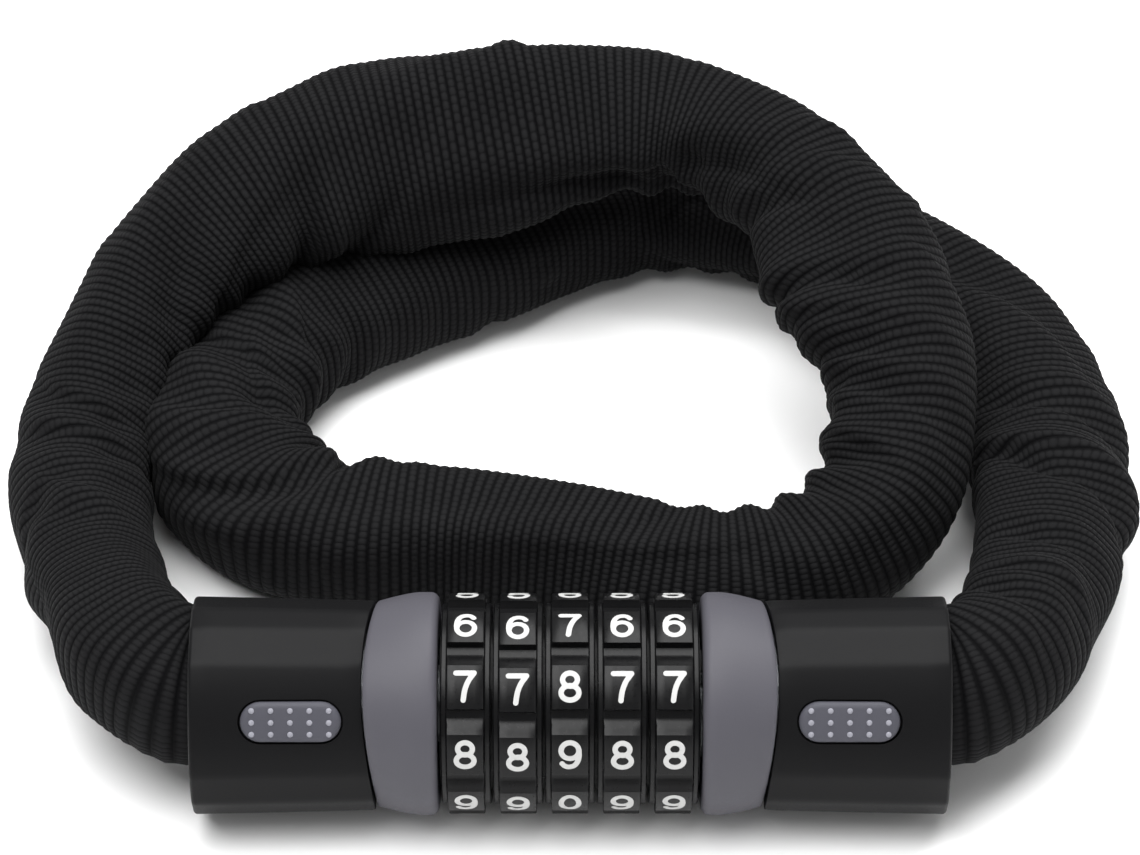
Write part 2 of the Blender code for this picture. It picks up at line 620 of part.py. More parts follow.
def smooth_curve(points, steps=12):
    """Points on one smooth curve through the route: a centripetal Catmull-Rom spline."""
    padded = [2 * points[0] - points[1], *points, 2 * points[-1] - points[-2]]
    curve = []
    for a, b, c, d in zip(padded, padded[1:], padded[2:], padded[3:]):
        times = [0.0]
        for start, end in ((a, b), (b, c), (c, d)):
            times.append(times[-1] + sqrt((end - start).length))
        t0, t1, t2, t3 = times
        for i in range(steps):
            t = t1 + (t2 - t1) * i / steps
            ab = a.lerp(b, (t - t0) / (t1 - t0))
            bc = b.lerp(c, (t - t1) / (t2 - t1))
            cd = c.lerp(d, (t - t2) / (t3 - t2))
            curve.append(ab.lerp(bc, (t - t0) / (t2 - t0)).lerp(bc.lerp(cd, (t - t1) / (t3 - t1)),
                                                                 (t - t1) / (t2 - t1)))
    return curve + [points[-1].copy()]


def along(curve, start, end, spacing):
    """Evenly spaced points of the curve between two distances along it."""
    count = max(2, ceil((end - start) / spacing))
    wanted = [start + (end - start) * i / count for i in range(count + 1)]
    found, travelled = [], 0.0
    for a, b in zip(curve, curve[1:]):
        length = (b - a).length
        while len(found) <= count and wanted[len(found)] <= travelled + length + 1e-9:
            found.append(a.lerp(b, (wanted[len(found)] - travelled) / length))
        travelled += length
    return found


def curve_length(curve):
    return sum((b - a).length for a, b in zip(curve, curve[1:]))


def chain_joints(curve, limit):
    """Joints on the curve up to this distance, a flat link and an upright one apart in turn."""
    joints, travelled = [curve[0]], 0.0
    for a, b in zip(curve, curve[1:]):
        travelled += (b - a).length
        if travelled > limit:
            break
        chord = FLAT_CHORD if len(joints) % 2 else UPRIGHT_CHORD
        if (b - joints[-1]).length >= chord:
            back, step = joints[-1] - a, b - a
            # Where the segment leaves the sphere of one chord about the last joint.
            half = step.dot(back) / step.dot(step)
            rest = (back.dot(back) - chord**2) / step.dot(step)
            joints.append(a + step * (half + sqrt(half * half - rest)))
    return joints


def make_link(name, start, end, across):
    """One closed link between two joints, its width along a given direction."""
    ahead = (end - start).normalized()
    curve = bpy.data.curves.new(name, "CURVE")
    curve.dimensions = "3D"
    curve.bevel_depth = LINK_WIRE / 2
    curve.bevel_resolution = 1
    spline = curve.splines.new("POLY")
    path = stadium(LINK_LENGTH - LINK_WIRE, LINK_WIDTH - LINK_WIRE, 4)
    spline.points.add(len(path) - 1)
    for point, (x, y) in zip(spline.points, path):
        point.co = (x, y, 0, 1)
    spline.use_cyclic_u = True
    made = add_object(name, curve, steel)
    turn = Matrix((ahead, across, ahead.cross(across))).transposed().to_4x4()
    made.matrix_world = Matrix.Translation((start + end) / 2) @ turn
    return made


def make_sleeve(name, points, neck_at_start):
    """One stretch of the woven sleeve: an open tube that narrows where it enters its cap."""
    curve = bpy.data.curves.new(name, "CURVE")
    curve.dimensions = "3D"
    curve.bevel_depth = SLEEVE_RADIUS
    curve.bevel_resolution = 3
    curve.use_fill_caps = False
    spline = curve.splines.new("POLY")
    spline.points.add(len(points) - 1)
    mouth = points[0] if neck_at_start else points[-1]
    for point, place in zip(spline.points, points):
        point.co = (*place, 1)
        beyond = (place - mouth).length - SLEEVE_NECK_LENGTH
        share = max(0, min(1, beyond / SLEEVE_STATION))
        point.radius = (SLEEVE_NECK_RADIUS + (SLEEVE_RADIUS - SLEEVE_NECK_RADIUS) * share) / SLEEVE_RADIUS
    tube = meshed(add_object(name, curve, fabric))
    wall = tube.modifiers.new("Wall", "SOLIDIFY")
    wall.thickness = SLEEVE_WALL
    wall.offset = -1


def make_chain_and_sleeve():
    """The chain's links and the sleeve, each in a part that stays with the body and one with the plug.

    The chain is open at one joint, under the far strand, so that the plug end can be pulled away.
    """
    curve = smooth_curve(route_points())
    total = curve_length(curve)
    split = total * SLEEVE_SPLIT
    inset = CHAIN_PIN_INSET - SLEEVE_TUCK
    make_sleeve("sleeve_body_side",
                along(curve, inset, inset + SLEEVE_NECK_LENGTH, SLEEVE_NECK_LENGTH)[:-1]
                + along(curve, inset + SLEEVE_NECK_LENGTH, split, SLEEVE_STATION), True)
    make_sleeve("sleeve_plug_side",
                along(curve, split + SLEEVE_SPLIT_GAP, total - inset - SLEEVE_NECK_LENGTH, SLEEVE_STATION)
                + along(curve, total - inset - SLEEVE_NECK_LENGTH, total - inset, SLEEVE_NECK_LENGTH)[1:],
                False)
    end_room = LINK_REACH + CLEARANCE
    body_joints = chain_joints(curve, split - end_room)
    plug_joints = chain_joints(curve[::-1], total - split - end_room)
    for name, joints in (("chain_link_body", body_joints), ("chain_link_plug", plug_joints)):
        up = Vector((0, 0, 1))
        for i, (start, end) in enumerate(zip(joints, joints[1:])):
            # Each link rolls only as much as the bend before it asks.
            ahead = (end - start).normalized()
            up = (up - ahead * up.dot(ahead)).normalized()
            make_link(f"{name}_{i + 1:02d}", start, end, up if i % 2 else up.cross(ahead))


for old in list(bpy.data.objects):
    bpy.data.objects.remove(old)

parts = bpy.data.collections.new("Combination chain lock")
cutters = bpy.data.collections.new("Cutters")
for made_collection in (parts, cutters):
    bpy.context.scene.collection.children.link(made_collection)

cap_plastic = material("cap_plastic", (0.020, 0.020, 0.022), 0.45)
grey_plastic = material("grey_plastic", (0.16, 0.16, 0.18), 0.50)
dial_plastic = material("dial_plastic", (0.012, 0.012, 0.013), 0.25)
pad_rubber = material("pad_rubber", (0.12, 0.12, 0.14), 0.60)
fabric = material("fabric", (0.012, 0.013, 0.014), 0.90)
steel = material("steel", (0.55, 0.55, 0.56), 0.30, 1.0)
zinc = material("zinc", (0.45, 0.46, 0.48), 0.40, 1.0)
brass = material("brass", (0.60, 0.42, 0.18), 0.35, 1.0)

make_dials()
make_barrel()
bolt_hole = make_bolt()
make_end("body", -1, [(BARREL_HOLE, BARREL_SEAT + CLEARANCE)],
         [bpy.data.objects["barrel_pin_hole"]])
make_end("plug", 1, [(BARREL_HOLE, STACK_HALF + BARREL_NOSE + CLEARANCE),
                     (BOLT_RADIUS + CLEARANCE, BOLT_ROOT + CLEARANCE)], [bolt_hole])
make_chain_and_sleeve()
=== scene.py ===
import json
from math import cos, pi, radians, sin, sqrt

import bmesh
import bpy
import numpy as np
from mathutils import Matrix, Vector

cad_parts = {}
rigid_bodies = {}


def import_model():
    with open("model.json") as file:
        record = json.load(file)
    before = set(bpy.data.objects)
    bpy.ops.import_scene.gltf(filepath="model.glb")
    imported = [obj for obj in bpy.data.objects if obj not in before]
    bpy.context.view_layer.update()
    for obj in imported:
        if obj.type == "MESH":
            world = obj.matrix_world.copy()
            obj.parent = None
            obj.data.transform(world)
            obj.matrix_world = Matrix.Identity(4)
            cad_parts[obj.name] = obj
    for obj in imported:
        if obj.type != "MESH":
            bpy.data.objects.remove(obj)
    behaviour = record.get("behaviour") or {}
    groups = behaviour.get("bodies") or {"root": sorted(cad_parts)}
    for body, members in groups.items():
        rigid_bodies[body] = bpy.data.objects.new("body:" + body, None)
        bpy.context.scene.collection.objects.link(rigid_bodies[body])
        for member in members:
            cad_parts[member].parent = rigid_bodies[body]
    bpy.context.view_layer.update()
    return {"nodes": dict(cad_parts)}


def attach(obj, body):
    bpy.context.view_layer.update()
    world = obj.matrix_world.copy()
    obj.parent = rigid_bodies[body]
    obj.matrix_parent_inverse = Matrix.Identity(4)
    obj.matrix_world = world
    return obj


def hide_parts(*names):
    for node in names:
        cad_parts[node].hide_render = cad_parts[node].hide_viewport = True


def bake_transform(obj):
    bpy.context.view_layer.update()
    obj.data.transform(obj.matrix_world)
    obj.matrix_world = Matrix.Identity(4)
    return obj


# Combination chain lock, closed, lying in its coil.
# The lock's axis runs along X at axisZ. Angles about it start at -Y and turn up to +Z, in degrees.

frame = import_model()
mm = 0.001
axisZ = 0.0162
codeAngle = 49.3  # the row where the code is read
random = np.random.default_rng(7)
print("frame loaded:", len(frame["nodes"]), "nodes")


def linearColour(hexCode):
    channels = [int(hexCode[i:i + 2], 16) / 255 for i in (1, 3, 5)]
    return [c / 12.92 if c <= 0.04045 else ((c + 0.055) / 1.055) ** 2.4 for c in channels] + [1.0]


def addNode(tree, kind, inputs=None, **settings):
    node = tree.nodes.new(kind)
    for name, value in settings.items():
        setattr(node, name, value)
    for key, value in (inputs or {}).items():
        if isinstance(value, bpy.types.Node):
            value = value.outputs[0]
        if isinstance(value, bpy.types.NodeSocket):
            tree.links.new(value, node.inputs[key])
        else:
            node.inputs[key].default_value = value
    return node


def newMaterial(name):
    made = bpy.data.materials.new(name)
    made.use_nodes = True
    made.node_tree.nodes.clear()
    return made, made.node_tree


def finishMaterial(made, inputs):
    shader = addNode(made.node_tree, "ShaderNodeBsdfPrincipled", inputs)
    addNode(made.node_tree, "ShaderNodeOutputMaterial", {"Surface": shader})
    return made


def meshObject(name, points, faces, finish, smoothAngle=None):
    mesh = bpy.data.meshes.new(name)
    mesh.from_pydata([tuple(p) for p in points], [], [tuple(f) for f in faces])
    mesh.materials.append(finish)
    made = bpy.data.objects.new(name, mesh)
    bpy.context.scene.collection.objects.link(made)
    facesOut(mesh)
    smoothShade(mesh, smoothAngle)
    return made


def facesOut(mesh):
    shape = bmesh.new()
    shape.from_mesh(mesh)
    bmesh.ops.remove_doubles(shape, verts=shape.verts, dist=1e-7)
    bmesh.ops.recalc_face_normals(shape, faces=shape.faces)
    shape.to_mesh(mesh)
    shape.free()


def smoothShade(mesh, angle):
    mesh.shade_smooth()
    if angle is not None:
        mesh.set_sharp_from_angle(angle=radians(angle))


def ringFaces(rows, columns, closed=False):
    # quads of a grid whose columns run round; closed joins the last row to the first
    faces = []
    for i in range(rows if closed else rows - 1):
        a, b = i * columns, ((i + 1) % rows) * columns
        for j in range(columns):
            k = (j + 1) % columns
            faces.append((a + j, a + k, b + k, b + j))
    return faces


def aboutAxis(x, radius, angle):
    return (x, -cos(radians(angle)) * radius, axisZ + sin(radians(angle)) * radius)


def addPiece(obj, body, slotName, *replaced):
    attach(obj, body)
    if replaced:
        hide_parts(*replaced)


def newTree(name, inputs):
    # a Geometry Nodes tree with these named inputs
    tree = bpy.data.node_groups.new(name, "GeometryNodeTree")
    for label, kind in (("Geometry", "Geometry"), *inputs):
        tree.interface.new_socket(label, in_out="INPUT", socket_type="NodeSocket" + kind)
    tree.interface.new_socket("Geometry", in_out="OUTPUT", socket_type="NodeSocketGeometry")
    return tree, addNode(tree, "NodeGroupInput").outputs


def treeResult(source, tree, values):
    # runs a tree on a throwaway object and returns the plain mesh
    modifier = source.modifiers.new("Nodes", "NODES")
    modifier.node_group = tree
    identifiers = {item.name: item.identifier for item in tree.interface.items_tree if item.in_out == "INPUT"}
    for name, value in values.items():
        modifier[identifiers[name]] = value
    bpy.context.view_layer.update()
    graph = bpy.context.evaluated_depsgraph_get()
    mesh = bpy.data.meshes.new_from_object(source.evaluated_get(graph))
    bpy.data.objects.remove(source)
    return mesh


sleeveCloth = {
    # gap is the near-black painted shade for the valleys between ribs and beads; valley and crest are the heights
    # over which that painted shade fades out
    "bead": "#1B1B1C", "fuzz": "#131314", "gap": "#040405",
    "beadShare": 0.42,  # how much the beads stand out along a rib
    "beadDepth": 0.26, "valley": 0.22, "crest": 0.96, "fuzzSize": 0.5, "fuzzHeight": 0.12, "wearSize": 9.0,
    "roughness": 0.88, "roughnessSpread": 0.16, "sheen": 0.01, "sheenRoughness": 0.5, "shine": 0.07,
}
plastic = {"patchSize": 14.0, "patchShare": 0.5, "roughnessSpread": 0.18}
metal = {"stainSize": 5.0, "roughnessSpread": 0.2}


def wovenNylon():
    # black nylon, plain woven: dull, thick ribs across the tube, each a row of small beads; the low ground between
    # ribs and beads is painted near black as shade
    made, tree = newMaterial("black_woven_nylon")
    weave = addNode(tree, "ShaderNodeUVMap", uv_map="weave")
    place = addNode(tree, "ShaderNodeSeparateXYZ", {0: weave}).outputs
    whole = addNode(tree, "ShaderNodeMath", {0: place[0]}, operation="FLOOR")
    odd = addNode(tree, "ShaderNodeMath", {0: whole, 1: 2.0}, operation="MODULO")
    # every other rib is shifted by half a bead
    shift = addNode(tree, "ShaderNodeMath", {0: odd, 1: 0.5}, operation="MULTIPLY")
    moved = addNode(tree, "ShaderNodeMath", {0: place[1], 1: shift}, operation="ADD")
    domes = []
    for value in (place[0], moved):
        part = addNode(tree, "ShaderNodeMath", {0: value}, operation="FRACT")
        off = addNode(tree, "ShaderNodeMath", {0: part, 1: 0.5}, operation="SUBTRACT")
        square = addNode(tree, "ShaderNodeMath", {0: off, 1: off}, operation="MULTIPLY")
        domes.append(addNode(tree, "ShaderNodeMath", {0: square, 1: -4.0, 2: 1.0}, operation="MULTIPLY_ADD"))
    share = sleeveCloth["beadShare"]
    beads = addNode(tree, "ShaderNodeMath", {0: domes[1], 1: share, 2: 1 - share}, operation="MULTIPLY_ADD")
    height = addNode(tree, "ShaderNodeMath", {0: domes[0], 1: beads}, operation="MULTIPLY")
    spot = addNode(tree, "ShaderNodeTexCoord").outputs["Object"]
    fuzz = addNode(tree, "ShaderNodeTexNoise",
                   {"Vector": spot, "Scale": 1000 / sleeveCloth["fuzzSize"], "Detail": 3.0})
    wear = addNode(tree, "ShaderNodeTexNoise",
                   {"Vector": spot, "Scale": 1000 / sleeveCloth["wearSize"], "Detail": 3.0})
    # painted shade: the colour runs from the near-black gap colour in the valleys to the thread's tone on the
    # crests
    crest = addNode(tree, "ShaderNodeMapRange", {"Value": height, "From Min": sleeveCloth["valley"],
                                                 "From Max": sleeveCloth["crest"]}, interpolation_type="SMOOTHSTEP")
    thread = addNode(tree, "ShaderNodeMix", {0: wear, 6: linearColour(sleeveCloth["fuzz"]),
                                             7: linearColour(sleeveCloth["bead"])}, data_type="RGBA").outputs[2]
    tone = addNode(tree, "ShaderNodeMix", {0: crest, 6: linearColour(sleeveCloth["gap"]), 7: thread},
                   data_type="RGBA").outputs[2]
    spread = sleeveCloth["roughnessSpread"]
    rough = addNode(tree, "ShaderNodeMath", {0: fuzz, 1: spread, 2: sleeveCloth["roughness"] - spread / 2},
                    operation="MULTIPLY_ADD")
    surface = addNode(tree, "ShaderNodeMath", {0: fuzz, 1: sleeveCloth["fuzzHeight"], 2: height},
                      operation="MULTIPLY_ADD")
    bump = addNode(tree, "ShaderNodeBump", {"Height": surface, "Distance": sleeveCloth["beadDepth"] * mm,
                                            "Strength": 1.0})
    return finishMaterial(made, {
        "Base Color": tone, "Roughness": rough, "Normal": bump, "Specular IOR Level": sleeveCloth["shine"],
        "Sheen Weight": sleeveCloth["sheen"], "Sheen Roughness": sleeveCloth["sheenRoughness"]})


def mouldedPlastic(name, colour, darker, roughness, grainSize, grainDepth, shine):
    # broad faint patches of tone, and a fine grain left by the mould; sizes in millimetres
    made, tree = newMaterial(name)
    spot = addNode(tree, "ShaderNodeTexCoord").outputs["Object"]
    patch = addNode(tree, "ShaderNodeTexNoise",
                    {"Vector": spot, "Scale": 1000 / plastic["patchSize"], "Detail": 2.0})
    grain = addNode(tree, "ShaderNodeTexNoise", {"Vector": spot, "Scale": 1000 / grainSize, "Detail": 3.0})
    share = addNode(tree, "ShaderNodeMath", {0: patch, 1: plastic["patchShare"]}, operation="MULTIPLY")
    tone = addNode(tree, "ShaderNodeMix", {0: share, 6: linearColour(colour), 7: linearColour(darker)},
                   data_type="RGBA").outputs[2]
    spread = plastic["roughnessSpread"]
    rough = addNode(tree, "ShaderNodeMath", {0: grain, 1: spread, 2: roughness - spread / 2},
                    operation="MULTIPLY_ADD")
    bump = addNode(tree, "ShaderNodeBump", {"Height": grain, "Distance": grainDepth * mm, "Strength": 1.0})
    return finishMaterial(made, {"Base Color": tone, "Roughness": rough, "Normal": bump,
                                 "Specular IOR Level": shine})


def workedMetal(name, colour, worn, roughness, grainSize, grainDepth):
    # bare or plated metal with stains in its tone and tool or casting marks in its gloss
    made, tree = newMaterial(name)
    spot = addNode(tree, "ShaderNodeTexCoord").outputs["Object"]
    grain = addNode(tree, "ShaderNodeTexNoise", {"Vector": spot, "Scale": 1000 / grainSize, "Detail": 4.0})
    stain = addNode(tree, "ShaderNodeTexNoise",
                    {"Vector": spot, "Scale": 1000 / metal["stainSize"], "Detail": 3.0})
    tone = addNode(tree, "ShaderNodeMix", {0: stain, 6: linearColour(colour), 7: linearColour(worn)},
                   data_type="RGBA").outputs[2]
    spread = metal["roughnessSpread"]
    rough = addNode(tree, "ShaderNodeMath", {0: grain, 1: spread, 2: roughness - spread / 2},
                    operation="MULTIPLY_ADD")
    bump = addNode(tree, "ShaderNodeBump", {"Height": grain, "Distance": grainDepth * mm, "Strength": 1.0})
    return finishMaterial(made, {"Base Color": tone, "Roughness": rough, "Normal": bump, "Metallic": 1.0})


cloth = wovenNylon()
# ABS from a spark-eroded mould: a soft, even sheen over fine grain
grainedAbs = mouldedPlastic("black_grained_abs", "#0E0E0F", "#141415", 0.42, 0.35, 0.010, 0.08)
# moulded nylon, satin: a wide pale highlight on grey
satinNylon = mouldedPlastic("grey_satin_nylon", "#4A494F", "#403F45", 0.50, 0.45, 0.008, 0.20)
# moulded rubber, dull; the dots are made paler than the pad
gripRubber = mouldedPlastic("grey_grip_rubber", "#45454C", "#3C3C43", 0.55, 0.4, 0.010, 0.20)
gripDots = mouldedPlastic("pale_grip_rubber", "#85858D", "#7B7B83", 0.55, 0.4, 0.004, 0.20)
# polished acetal: narrow highlights on the dials' edges
dialAcetal = mouldedPlastic("black_polished_acetal", "#09090A", "#0D0D0E", 0.30, 0.6, 0.003, 0.16)
# filled paint, slightly uneven
whiteInk = mouldedPlastic("white_filled_paint", "#B6B6B5", "#A9A9A8", 0.45, 0.3, 0.003, 0.25)
# hardened steel with bright zinc plating, sand-rough cast zinc and turned brass
platedSteel = workedMetal("zinc_plated_steel", "#B9BBBD", "#9A9C9F", 0.32, 0.6, 0.004)
castZinc = workedMetal("die_cast_zinc", "#8F9194", "#7B7D81", 0.46, 0.3, 0.012)
turnedBrass = workedMetal("turned_brass", "#C09A55", "#A88445", 0.34, 0.4, 0.003)
print("materials ready")


stageSettings = {
    "lockDistance": 0.640, "lockElevation": 40.7,  # the camera's place, as seen from the lock's middle
    "axisElevation": 37.10, "lens": 138.45, "sensor": 36.0, "farthest": 20,
    "floor": "#F7F7F7", "floorRoughness": 0.9, "floorSize": 6.0, "sky": 0.42, "aim": (0, 0.03, 0.02),
    "lights": (  # name, place, size and power
        ("key_light", (-0.35, -0.35, 1.25), 0.9, 20.0), ("top_light", (0.25, 0.40, 1.3), 1.1, 24.0),
        ("fill_light", (0.9, -0.75, 0.7), 0.8, 2.0),
    ),
}


def makeCamera():
    camera = bpy.data.objects.new("camera", bpy.data.cameras.new("camera"))
    bpy.context.scene.collection.objects.link(camera)
    camera.data.lens = stageSettings["lens"]
    camera.data.sensor_width = stageSettings["sensor"]
    camera.data.clip_end = stageSettings["farthest"]
    lift = radians(stageSettings["lockElevation"])
    distance = stageSettings["lockDistance"]
    camera.location = (0, -distance * cos(lift), axisZ + distance * sin(lift))
    camera.rotation_euler = (radians(90 - stageSettings["axisElevation"]), 0, 0)
    bpy.context.scene.camera = camera


def makeStage():
    half = stageSettings["floorSize"] / 2
    paint = finishMaterial(newMaterial("studio_floor")[0], {
        "Base Color": linearColour(stageSettings["floor"]), "Roughness": stageSettings["floorRoughness"]})
    floor = meshObject("studio_floor", [(-half, -half, 0), (half, -half, 0), (half, half, 0), (-half, half, 0)],
                       [(0, 1, 2, 3)], paint)
    for name, place, size, power in stageSettings["lights"]:
        lamp = bpy.data.lights.new(name, "AREA")
        lamp.size, lamp.energy = size, power
        holder = bpy.data.objects.new(name, lamp)
        bpy.context.scene.collection.objects.link(holder)
        holder.location = place
        holder.rotation_euler = (Vector(stageSettings["aim"]) - Vector(place)).to_track_quat("-Z", "Y").to_euler()
    world = bpy.data.worlds.new("studio")
    world.use_nodes = True
    sky = world.node_tree.nodes["Background"].inputs
    sky[0].default_value, sky[1].default_value = (1, 1, 1, 1), stageSettings["sky"]
    bpy.context.scene.world = world
    bpy.context.scene.view_settings.view_transform = "Standard"


makeCamera()
makeStage()
print("camera, floor and light ready")


cap = {
    "faceAngles": (30.0, 150.0, 270.0), "faceHalf": 31.5, "facet": 20.5, "crown": 0.028,
    "faceAtRing": 0.01415, "faceAtEnd": 0.0148, "cornerAtRing": 0.01575, "cornerAtEnd": 0.01635,
    "end": 0.0545, "wall": 0.0018, "mouth": 0.0100, "endRound": 0.0006, "mouthRound": 0.0005, "columns": 240,
}

# The route's points run from the body end's chain pin to the plug end's.
sleeveRoute = (
    (-0.0400, 0.0, 0.0162), (-0.0536, 0.0, 0.0162),
    (-0.0580, 0.0005, 0.0163), (-0.0636, 0.0036, 0.0162), (-0.0692, 0.0105, 0.0156), (-0.0731, 0.0205, 0.0144),
    (-0.0758, 0.0340, 0.0126), (-0.0772, 0.0520, 0.0117), (-0.0778, 0.0710, 0.0130), (-0.0746, 0.0900, 0.0190),
    (-0.0660, 0.1040, 0.0265), (-0.0520, 0.1130, 0.0325), (-0.0350, 0.1180, 0.0355), (-0.0150, 0.1200, 0.0365),
    (0.0050, 0.1225, 0.0368), (0.0210, 0.1210, 0.0366), (0.0355, 0.1120, 0.0358), (0.0460, 0.0960, 0.0336),
    (0.0515, 0.0780, 0.0292), (0.0522, 0.0610, 0.0225), (0.0480, 0.0470, 0.0160), (0.0370, 0.0385, 0.0122),
    (0.0220, 0.0370, 0.0113), (0.0040, 0.0405, 0.0112), (-0.0150, 0.0440, 0.0112), (-0.0320, 0.0470, 0.0112),
    (-0.0455, 0.0545, 0.0112), (-0.0530, 0.0680, 0.0112), (-0.0525, 0.0840, 0.0112), (-0.0445, 0.0980, 0.0112),
    (-0.0315, 0.1080, 0.0112), (-0.0155, 0.1165, 0.0112), (0.0000, 0.1255, 0.0112), (0.0150, 0.1315, 0.0112),
    (0.0300, 0.1300, 0.0112), (0.0435, 0.1210, 0.0112), (0.0560, 0.1075, 0.0112), (0.0665, 0.0920, 0.0112),
    (0.0735, 0.0745, 0.0112), (0.0760, 0.0560, 0.0115), (0.0752, 0.0380, 0.0128), (0.0725, 0.0210, 0.0145),
    (0.0690, 0.0105, 0.0156), (0.0636, 0.0036, 0.0162), (0.0580, 0.0005, 0.0163),
    (0.0536, 0.0, 0.0162), (0.0400, 0.0, 0.0162),
)

sleeve = {
    "tuck": 0.0014,  # how far each end goes into its cap
    "neck": 0.0095, "neckLength": 0.0022, "squareLength": 0.0048,
    "linkRoom": 0.0009, "linkRound": 0.010, "linkReach": 0.0065,  # cloth over the links of the chain
    "linkPitch": 0.0236, "linkSwell": 0.020,
    "ribPitch": 0.00140, "ribPitchAway": 0.00172,  # rib spacing across and away from the lock
    "ribHeight": 0.00020, "beadsRound": 66, "pointsRound": 96,
    "squareness": 0.88,  # under 1 squares the section a little
    "wideFacets": 0.028, "narrowFacets": 0.026,
    "pleatHeight": 0.16, "pleatPitch": 0.0102, "tightBend": 60,  # 1 over the radius of a bend, in metres
    "typical": 0.0105, "deepest": 0.0020, "highest": 0.0034,
    "smallFolds": 90, "foldLength": (0.006, 0.013), "foldWidth": (0.0014, 0.0028), "foldHeight": (-0.0011, 0.0006),
    "foldsFrom": 0.012,  # no small fold is nearer to an end
    "split": 0.722,  # share of the route where the chain opens
    "blendBefore": 0.105, "blendAfter": 0.100,  # length of sleeve on each side of it
    "floorGap": 0.0002, "floorRound": 0.0022, "width": 0.0245,
}

# at points of the route, in millimetres: half width and half thickness of the flattened tube, its tilt in
# degrees, and how far it lies from the chain's line in X, Y and Z
sleeveSections = (
    (1, 10.2, 10.2, 0, 0, 0, 0), (2, 10.4, 10.6, 0, 0.2, 1.8, 1.8), (3, 10.6, 10.4, 0, 1.4, 2.8, 2.4),
    (4, 10.0, 10.0, 0, 3.0, 2.6, 2.0), (5, 9.2, 9.8, 0, 4.4, 1.2, 1.2), (6, 9.4, 9.8, 0, 3.6, 0, 0.5),
    (7, 11.0, 9.8, 0, 0, 0, 0), (8, 10.6, 9.6, -5, 1.2, 0, 0), (9, 10.0, 9.4, -15, 3.4, -0.8, -0.5),
    (10, 11.6, 9.0, -28, 3.2, -2.6, -2.1), (11, 13.6, 8.8, -40, 1.4, -2.5, -2.5),
    (12, 15.6, 8.5, -48, 0, -2.0, -2.2),
    (13, 15.8, 8.5, -49, 0, -0.3, -0.5), (14, 12.5, 9.0, -45, 0, 0.4, 0.3), (15, 10.4, 9.6, -35, 0, 0.4, 0.4),
    (16, 10.6, 9.6, -30, -1.4, -1.2, -0.4), (17, 12.6, 9.4, -15, -2.8, -1.8, -0.4), (18, 12.0, 9.2, -5, -1.6, 0, 0),
    (19, 11.4, 9.4, 0, 0, 0, 0), (20, 10.8, 10.0, 0, 0, 0, -0.2), (21, 10.4, 10.2, 0, 0, -0.7, -0.5),
    (22, 9.4, 10.2, 0, 0, -2.8, -0.6), (23, 10.8, 10.0, 0, 0, -0.4, -0.6), (24, 12.4, 9.8, 0, 0, 1.8, -0.7),
    (25, 12.8, 9.6, 0, -0.8, 0, -0.8), (26, 13.2, 9.6, 0, -2.4, -2.0, -0.8), (27, 12.6, 9.6, 0, -2.6, -0.8, -0.8),
    (28, 11.6, 9.8, 0, -1.2, 0.3, -0.7), (29, 10.6, 9.8, 0, -0.5, 1.2, -0.7), (30, 10.4, 9.8, 0, 0, 1.6, -0.7),
    (31, 9.8, 9.8, 0, 0, 2.6, -0.6), (32, 9.2, 9.8, 0, 0, 3.4, -0.4), (33, 9.0, 9.8, 0, 0, 3.8, -0.2),
    (34, 9.6, 9.8, 0, 0.8, 3.4, -0.4), (35, 11.0, 9.8, 0, 2.2, 3.4, -0.7), (36, 12.4, 9.6, 0, 3.4, 3.6, -0.8),
    (37, 12.8, 9.6, 0, 3.4, 2.8, -0.8), (38, 12.4, 9.6, 0, 2.0, 1.6, -0.8), (39, 12.2, 9.6, 5, -0.4, 0, -0.4),
    (40, 11.6, 9.8, 5, -1.8, 0, 0.3), (41, 10.2, 10.0, 0, -3.2, 1.0, 1.0), (42, 10.2, 10.0, 0, -2.8, 2.4, 2.0),
    (43, 10.6, 10.4, 0, -1.2, 2.8, 2.4), (44, 10.4, 10.6, 0, -0.2, 1.8, 1.8), (45, 10.2, 10.2, 0, 0, 0, 0),
)

# the larger folds: route point, angle about the tube (0 beside it, 90 on top), how the fold runs (0 along the
# tube, 90 around it), length, width and height, in degrees and millimetres
sleeveFolds = (
    (6.4, 90, 40, 12, 2.2, 1.0), (7.3, 80, 75, 14, 2.5, -1.4), (7.8, 100, 60, 12, 2.2, -1.2),
    (9.5, 60, 30, 20, 3.0, -1.2), (10.5, 70, 20, 25, 3.0, 1.2), (11.2, 40, 65, 16, 2.6, -1.8),
    (11.6, 70, 75, 14, 2.6, 1.3), (12.0, 30, 50, 18, 3.0, -1.5), (14.2, 15, -15, 26, 2.6, -2.4),
    (15.5, 40, 20, 22, 3.0, -1.2), (16.5, 30, 60, 12, 2.4, -1.4), (17.6, 20, 70, 12, 2.2, -1.8),
    (17.6, 0, 5, 14, 6.0, 3.4), (18.0, 50, 60, 14, 2.2, 1.2), (18.5, 40, 75, 12, 2.2, -1.8),
    (19.0, 70, 65, 14, 2.6, -1.5), (19.5, 50, 70, 12, 2.2, 1.2), (22.5, 130, 10, 30, 3.5, -1.0),
    (24.0, 120, 5, 30, 4.0, 1.0),
    (26.0, 120, 40, 16, 2.6, -1.6), (26.8, 90, 60, 16, 2.6, 1.4), (27.4, 60, 30, 16, 2.6, -1.6),
    (28.0, 100, 70, 14, 2.2, -1.6), (28.6, 60, 50, 14, 2.4, 1.4), (36.5, 90, 20, 30, 3.5, -1.4),
    (38.5, 100, 60, 16, 2.6, -1.8), (39.0, 80, 70, 16, 2.6, 1.5), (39.6, 110, 55, 16, 2.6, -1.8),
    (40.6, 70, 70, 12, 2.4, -1.5), (41.5, 90, 80, 12, 2.2, 1.2), (42.3, 60, 75, 12, 2.0, -1.4),
)


